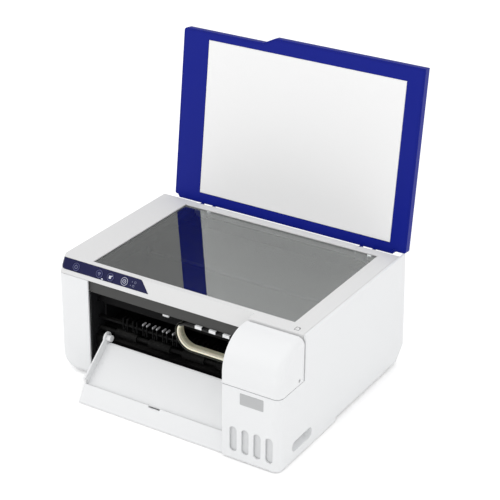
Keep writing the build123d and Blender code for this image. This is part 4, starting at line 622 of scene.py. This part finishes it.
def drawDocumentPad():
    # height over the lid = rounded edge profile + a faint crown; the back is flat
    low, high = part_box("lid_pad")
    lean = math.radians(padSpec["lean"])
    hinge = np.array(padSpec["hinge"])
    across = np.array([1.0, 0.0, 0.0])
    along = np.array([0.0, math.sin(lean), math.cos(lean)])
    inward = np.array([0.0, -math.cos(lean), math.sin(lean)])
    cad = nodes["lid_pad"].data
    flatCo = np.zeros(len(cad.vertices) * 3)
    cad.vertices.foreach_get("co", flatCo)
    local = flatCo.reshape(-1, 3) - hinge
    v0, v1 = (local @ along).min(), (local @ along).max()
    top = (local @ inward).max()
    edge = padSpec["edgeRound"]

    def spread(a, b, count):
        # samples crowd into the rounded edges
        inner = np.linspace(a + edge, b - edge, count)
        angle = np.linspace(0, math.pi / 2, padSpec["edgeSteps"] + 1)[:-1]
        lead = edge * (1 - np.cos(angle))
        return np.concatenate([a + lead, inner, (b - lead)[::-1]])

    us, vs = spread(low.x, high.x, padSpec["columns"]), spread(v0, v1, padSpec["rows"])
    u, v = np.meshgrid(us, vs)

    def drop(value, a, b):
        # how far the surface has fallen, a quarter circle wide at each end
        near = np.clip(edge - np.minimum(value - a, b - value), 0, edge)
        return edge - np.sqrt(np.maximum(edge ** 2 - near ** 2, 0))

    fallen = np.maximum(drop(u, low.x, high.x), drop(v, v0, v1))
    swell = np.sin(np.pi * (u - low.x) / (high.x - low.x)) * np.sin(np.pi * (v - v0) / (v1 - v0))
    height = top - fallen + padSpec["crown"] * swell
    flat = hinge + u[..., None] * across + v[..., None] * along
    front = flat + height[..., None] * inward
    back = flat + (top - padSpec["thickness"]) * inward
    n, m = front.shape[:2]
    index = np.arange(n * m).reshape(n, m)
    under = index + n * m
    loop = np.concatenate([index[0, :-1], index[:-1, -1], index[-1, :0:-1], index[:0:-1, 0]])
    ahead = np.roll(loop, -1)
    rings = [
        [index[:-1, :-1], index[:-1, 1:], index[1:, 1:], index[1:, :-1]],
        [under[:-1, :-1], under[1:, :-1], under[1:, 1:], under[:-1, 1:]],
        [loop, loop + n * m, ahead + n * m, ahead],
    ]
    faces = np.concatenate([np.stack(ring, -1).reshape(-1, 4) for ring in rings]).tolist()
    corners = np.concatenate([front.reshape(-1, 3), back.reshape(-1, 3)])
    pad = makePiece("document_pad", [(corners, faces, "white_pad")], "lid")
    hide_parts("lid_pad")


drawDocumentPad()
print("document pad made")

# ---- film that guides the ink tubes ----

filmSpec = {"leftX": -0.00015, "rightX": 0.1080, "lowZ": 0.0935, "middleY": -0.11275, "lowBend": 0.022,
            "highBend": 0.012, "outside": 0.0034, "width": 0.0136, "thickness": 0.0004}


def drawTubeFilm():
    # a strip outside the tubes' bend: a straight run and two quarter turns of different radius
    spec = filmSpec
    lowReach, highReach = spec["lowBend"] + spec["outside"], spec["highBend"] + spec["outside"]
    lowCentre = (spec["leftX"] + spec["lowBend"], spec["lowZ"] + spec["lowBend"])
    highX = spec["leftX"] + spec["highBend"]
    lower, upper = np.radians(np.linspace(270, 180, 28)), np.radians(np.linspace(180, 110, 20))[1:]
    runX = np.linspace(spec["rightX"], lowCentre[0], 12)[:-1]
    runZ = np.full(len(runX), lowCentre[1] - lowReach)
    x = np.concatenate([runX, lowCentre[0] + lowReach * np.cos(lower), highX + highReach * np.cos(upper)])
    z = np.concatenate([runZ, lowCentre[1] + lowReach * np.sin(lower), lowCentre[1] + highReach * np.sin(upper)])
    centre = np.stack([x, z], 1)
    step = np.gradient(centre, axis=0)
    side = np.stack([-step[:, 1], step[:, 0]], 1) / np.linalg.norm(step, axis=1)[:, None]
    half, thick = spec["width"] / 2, spec["thickness"]
    section = [(-half, 0.0), (half, 0.0), (half, thick), (-half, thick)]
    points = np.stack([np.stack([centre[:, 0] + side[:, 0] * t, np.full(len(x), spec["middleY"] + w),
                                 centre[:, 1] + side[:, 1] * t], -1) for w, t in section], 1)
    makePiece("tube_film", [gridSurface(points, "film", closeAcross=True, capEnds=True)], "base")


drawTubeFilm()
print("tube film made")

# ---- hooks that carry the ink tubes under the scanner housing ----

hookSpec = {"middles": (0.0324, 0.0536, 0.0746, 0.0965), "width": 0.0100, "topZ": 0.1316, "lowZ": 0.1274,
            "frontY": -0.1204, "rearY": -0.1169, "thickness": 0.0006}


def drawTubeHooks():
    # an upside-down L in the YZ plane, carried straight along X
    spec = hookSpec
    front, rear, t = spec["frontY"], spec["rearY"], spec["thickness"]
    top, low = spec["topZ"], spec["lowZ"]
    outline = np.array([(rear, top), (front, top), (front, low), (front + t, low), (front + t, top - t),
                        (rear, top - t)])
    surfaces = []
    for middle in spec["middles"]:
        ends = [middle + side * spec["width"] / 2 for side in (-1, 1)]
        rows = np.array([np.column_stack([np.full(len(outline), x), outline]) for x in ends])
        surfaces.append(gridSurface(rows, "white_cover", closeAcross=True, capEnds=True))
    makePiece("tube_hooks", surfaces, "scanner")


drawTubeHooks()
print("tube hooks made")

# ---- floor, lights and camera ----

stageSpec = {"floorSize": 14.0, "floorColour": (0.93, 0.93, 0.93, 1.0), "lift": 0.22, "ambient": 1.0,
             "reflected": 0.42}
lampSpec = {
    "key": {"place": (-1.6, -1.8, 2.2), "target": (0, 0, 0.15), "size": (2.2, 2.2), "power": 9.5},
    "fill": {"place": (2.4, -0.6, 1.3), "target": (0, 0, 0.15), "size": (1.8, 1.8), "power": 2.2},
    "top": {"place": (0.2, 0.2, 2.8), "target": (0, 0, 0.1), "size": (2.4, 2.4), "power": 2.4},
}
cameraSpec = {"place": (1.00125, -1.5763, 1.0937), "azimuth": 31.5, "elevation": 26.0, "roll": 0.6,
              "focal": 1559.9, "pictureWidth": 500.0, "sensor": 36.0}


def lightPath(tree):
    return tree.nodes.new("ShaderNodeLightPath").outputs


def straightRays(tree, path):
    # rays that show the white ground: from the camera, or on through glass
    return mathNode(tree, "ADD", path["Is Camera Ray"], path["Is Transmission Ray"], True)


def dressFloor():
    bpy.ops.mesh.primitive_plane_add(size=stageSpec["floorSize"])
    floor = bpy.context.active_object
    floor.name = "floor"
    material, tree, shader = startMaterial("floor_paper")
    shader.inputs["Base Color"].default_value = stageSpec["floorColour"]
    shader.inputs["Roughness"].default_value = 0.9
    lit = mathNode(tree, "MULTIPLY", straightRays(tree, lightPath(tree)), stageSpec["lift"])
    shader.inputs["Emission Color"].default_value = (1, 1, 1, 1)
    tree.links.new(lit, shader.inputs["Emission Strength"])
    floor.data.materials.append(material)


def lightWorld():
    # strength: ambient, but 1 for straight rays and less in reflections, as in a studio
    world = bpy.data.worlds.new("studio")
    bpy.context.scene.world = world
    world.use_nodes = True
    tree = world.node_tree
    backdrop = tree.nodes["Background"]
    path = lightPath(tree)
    ambient = stageSpec["ambient"]
    straight = mathNode(tree, "MULTIPLY", straightRays(tree, path), 1.0 - ambient)
    mirrored = mathNode(tree, "MULTIPLY", path["Is Glossy Ray"], stageSpec["reflected"] - ambient)
    total = mathNode(tree, "ADD", mathNode(tree, "ADD", straight, mirrored), ambient)
    tree.links.new(total, backdrop.inputs["Strength"])
    backdrop.inputs["Color"].default_value = (1, 1, 1, 1)


def areaLamp(name, place, target, size, power):
    data = bpy.data.lights.new(name, "AREA")
    data.shape = "RECTANGLE"
    data.size, data.size_y = size
    data.energy = power
    lamp = bpy.data.objects.new(name, data)
    lamp.location = place
    lamp.rotation_euler = (Vector(target) - Vector(place)).to_track_quat("-Z", "Y").to_euler()
    bpy.context.scene.collection.objects.link(lamp)


def placeCamera():
    az, el, roll = (math.radians(cameraSpec[k]) for k in ("azimuth", "elevation", "roll"))
    ahead = Vector((-math.sin(az) * math.cos(el), math.cos(az) * math.cos(el), -math.sin(el)))
    right = Vector((math.cos(az), math.sin(az), 0))
    up = right.cross(ahead)
    turnedRight = right * math.cos(roll) + up * math.sin(roll)
    turnedUp = up * math.cos(roll) - right * math.sin(roll)
    data = bpy.data.cameras.new("camera")
    data.sensor_width = cameraSpec["sensor"]
    data.lens = cameraSpec["focal"] * cameraSpec["sensor"] / cameraSpec["pictureWidth"]
    data.clip_end = 50.0
    camera = bpy.data.objects.new("camera", data)
    bpy.context.scene.collection.objects.link(camera)
    turn = Matrix((turnedRight, turnedUp, -ahead)).transposed().to_4x4()
    camera.matrix_world = Matrix.Translation(cameraSpec["place"]) @ turn
    bpy.context.scene.camera = camera


dressFloor()
lightWorld()
for name, lamp in lampSpec.items():
    areaLamp(name, **lamp)
placeCamera()
bpy.context.scene.view_settings.view_transform = "Standard"
print("floor, lights and camera set")
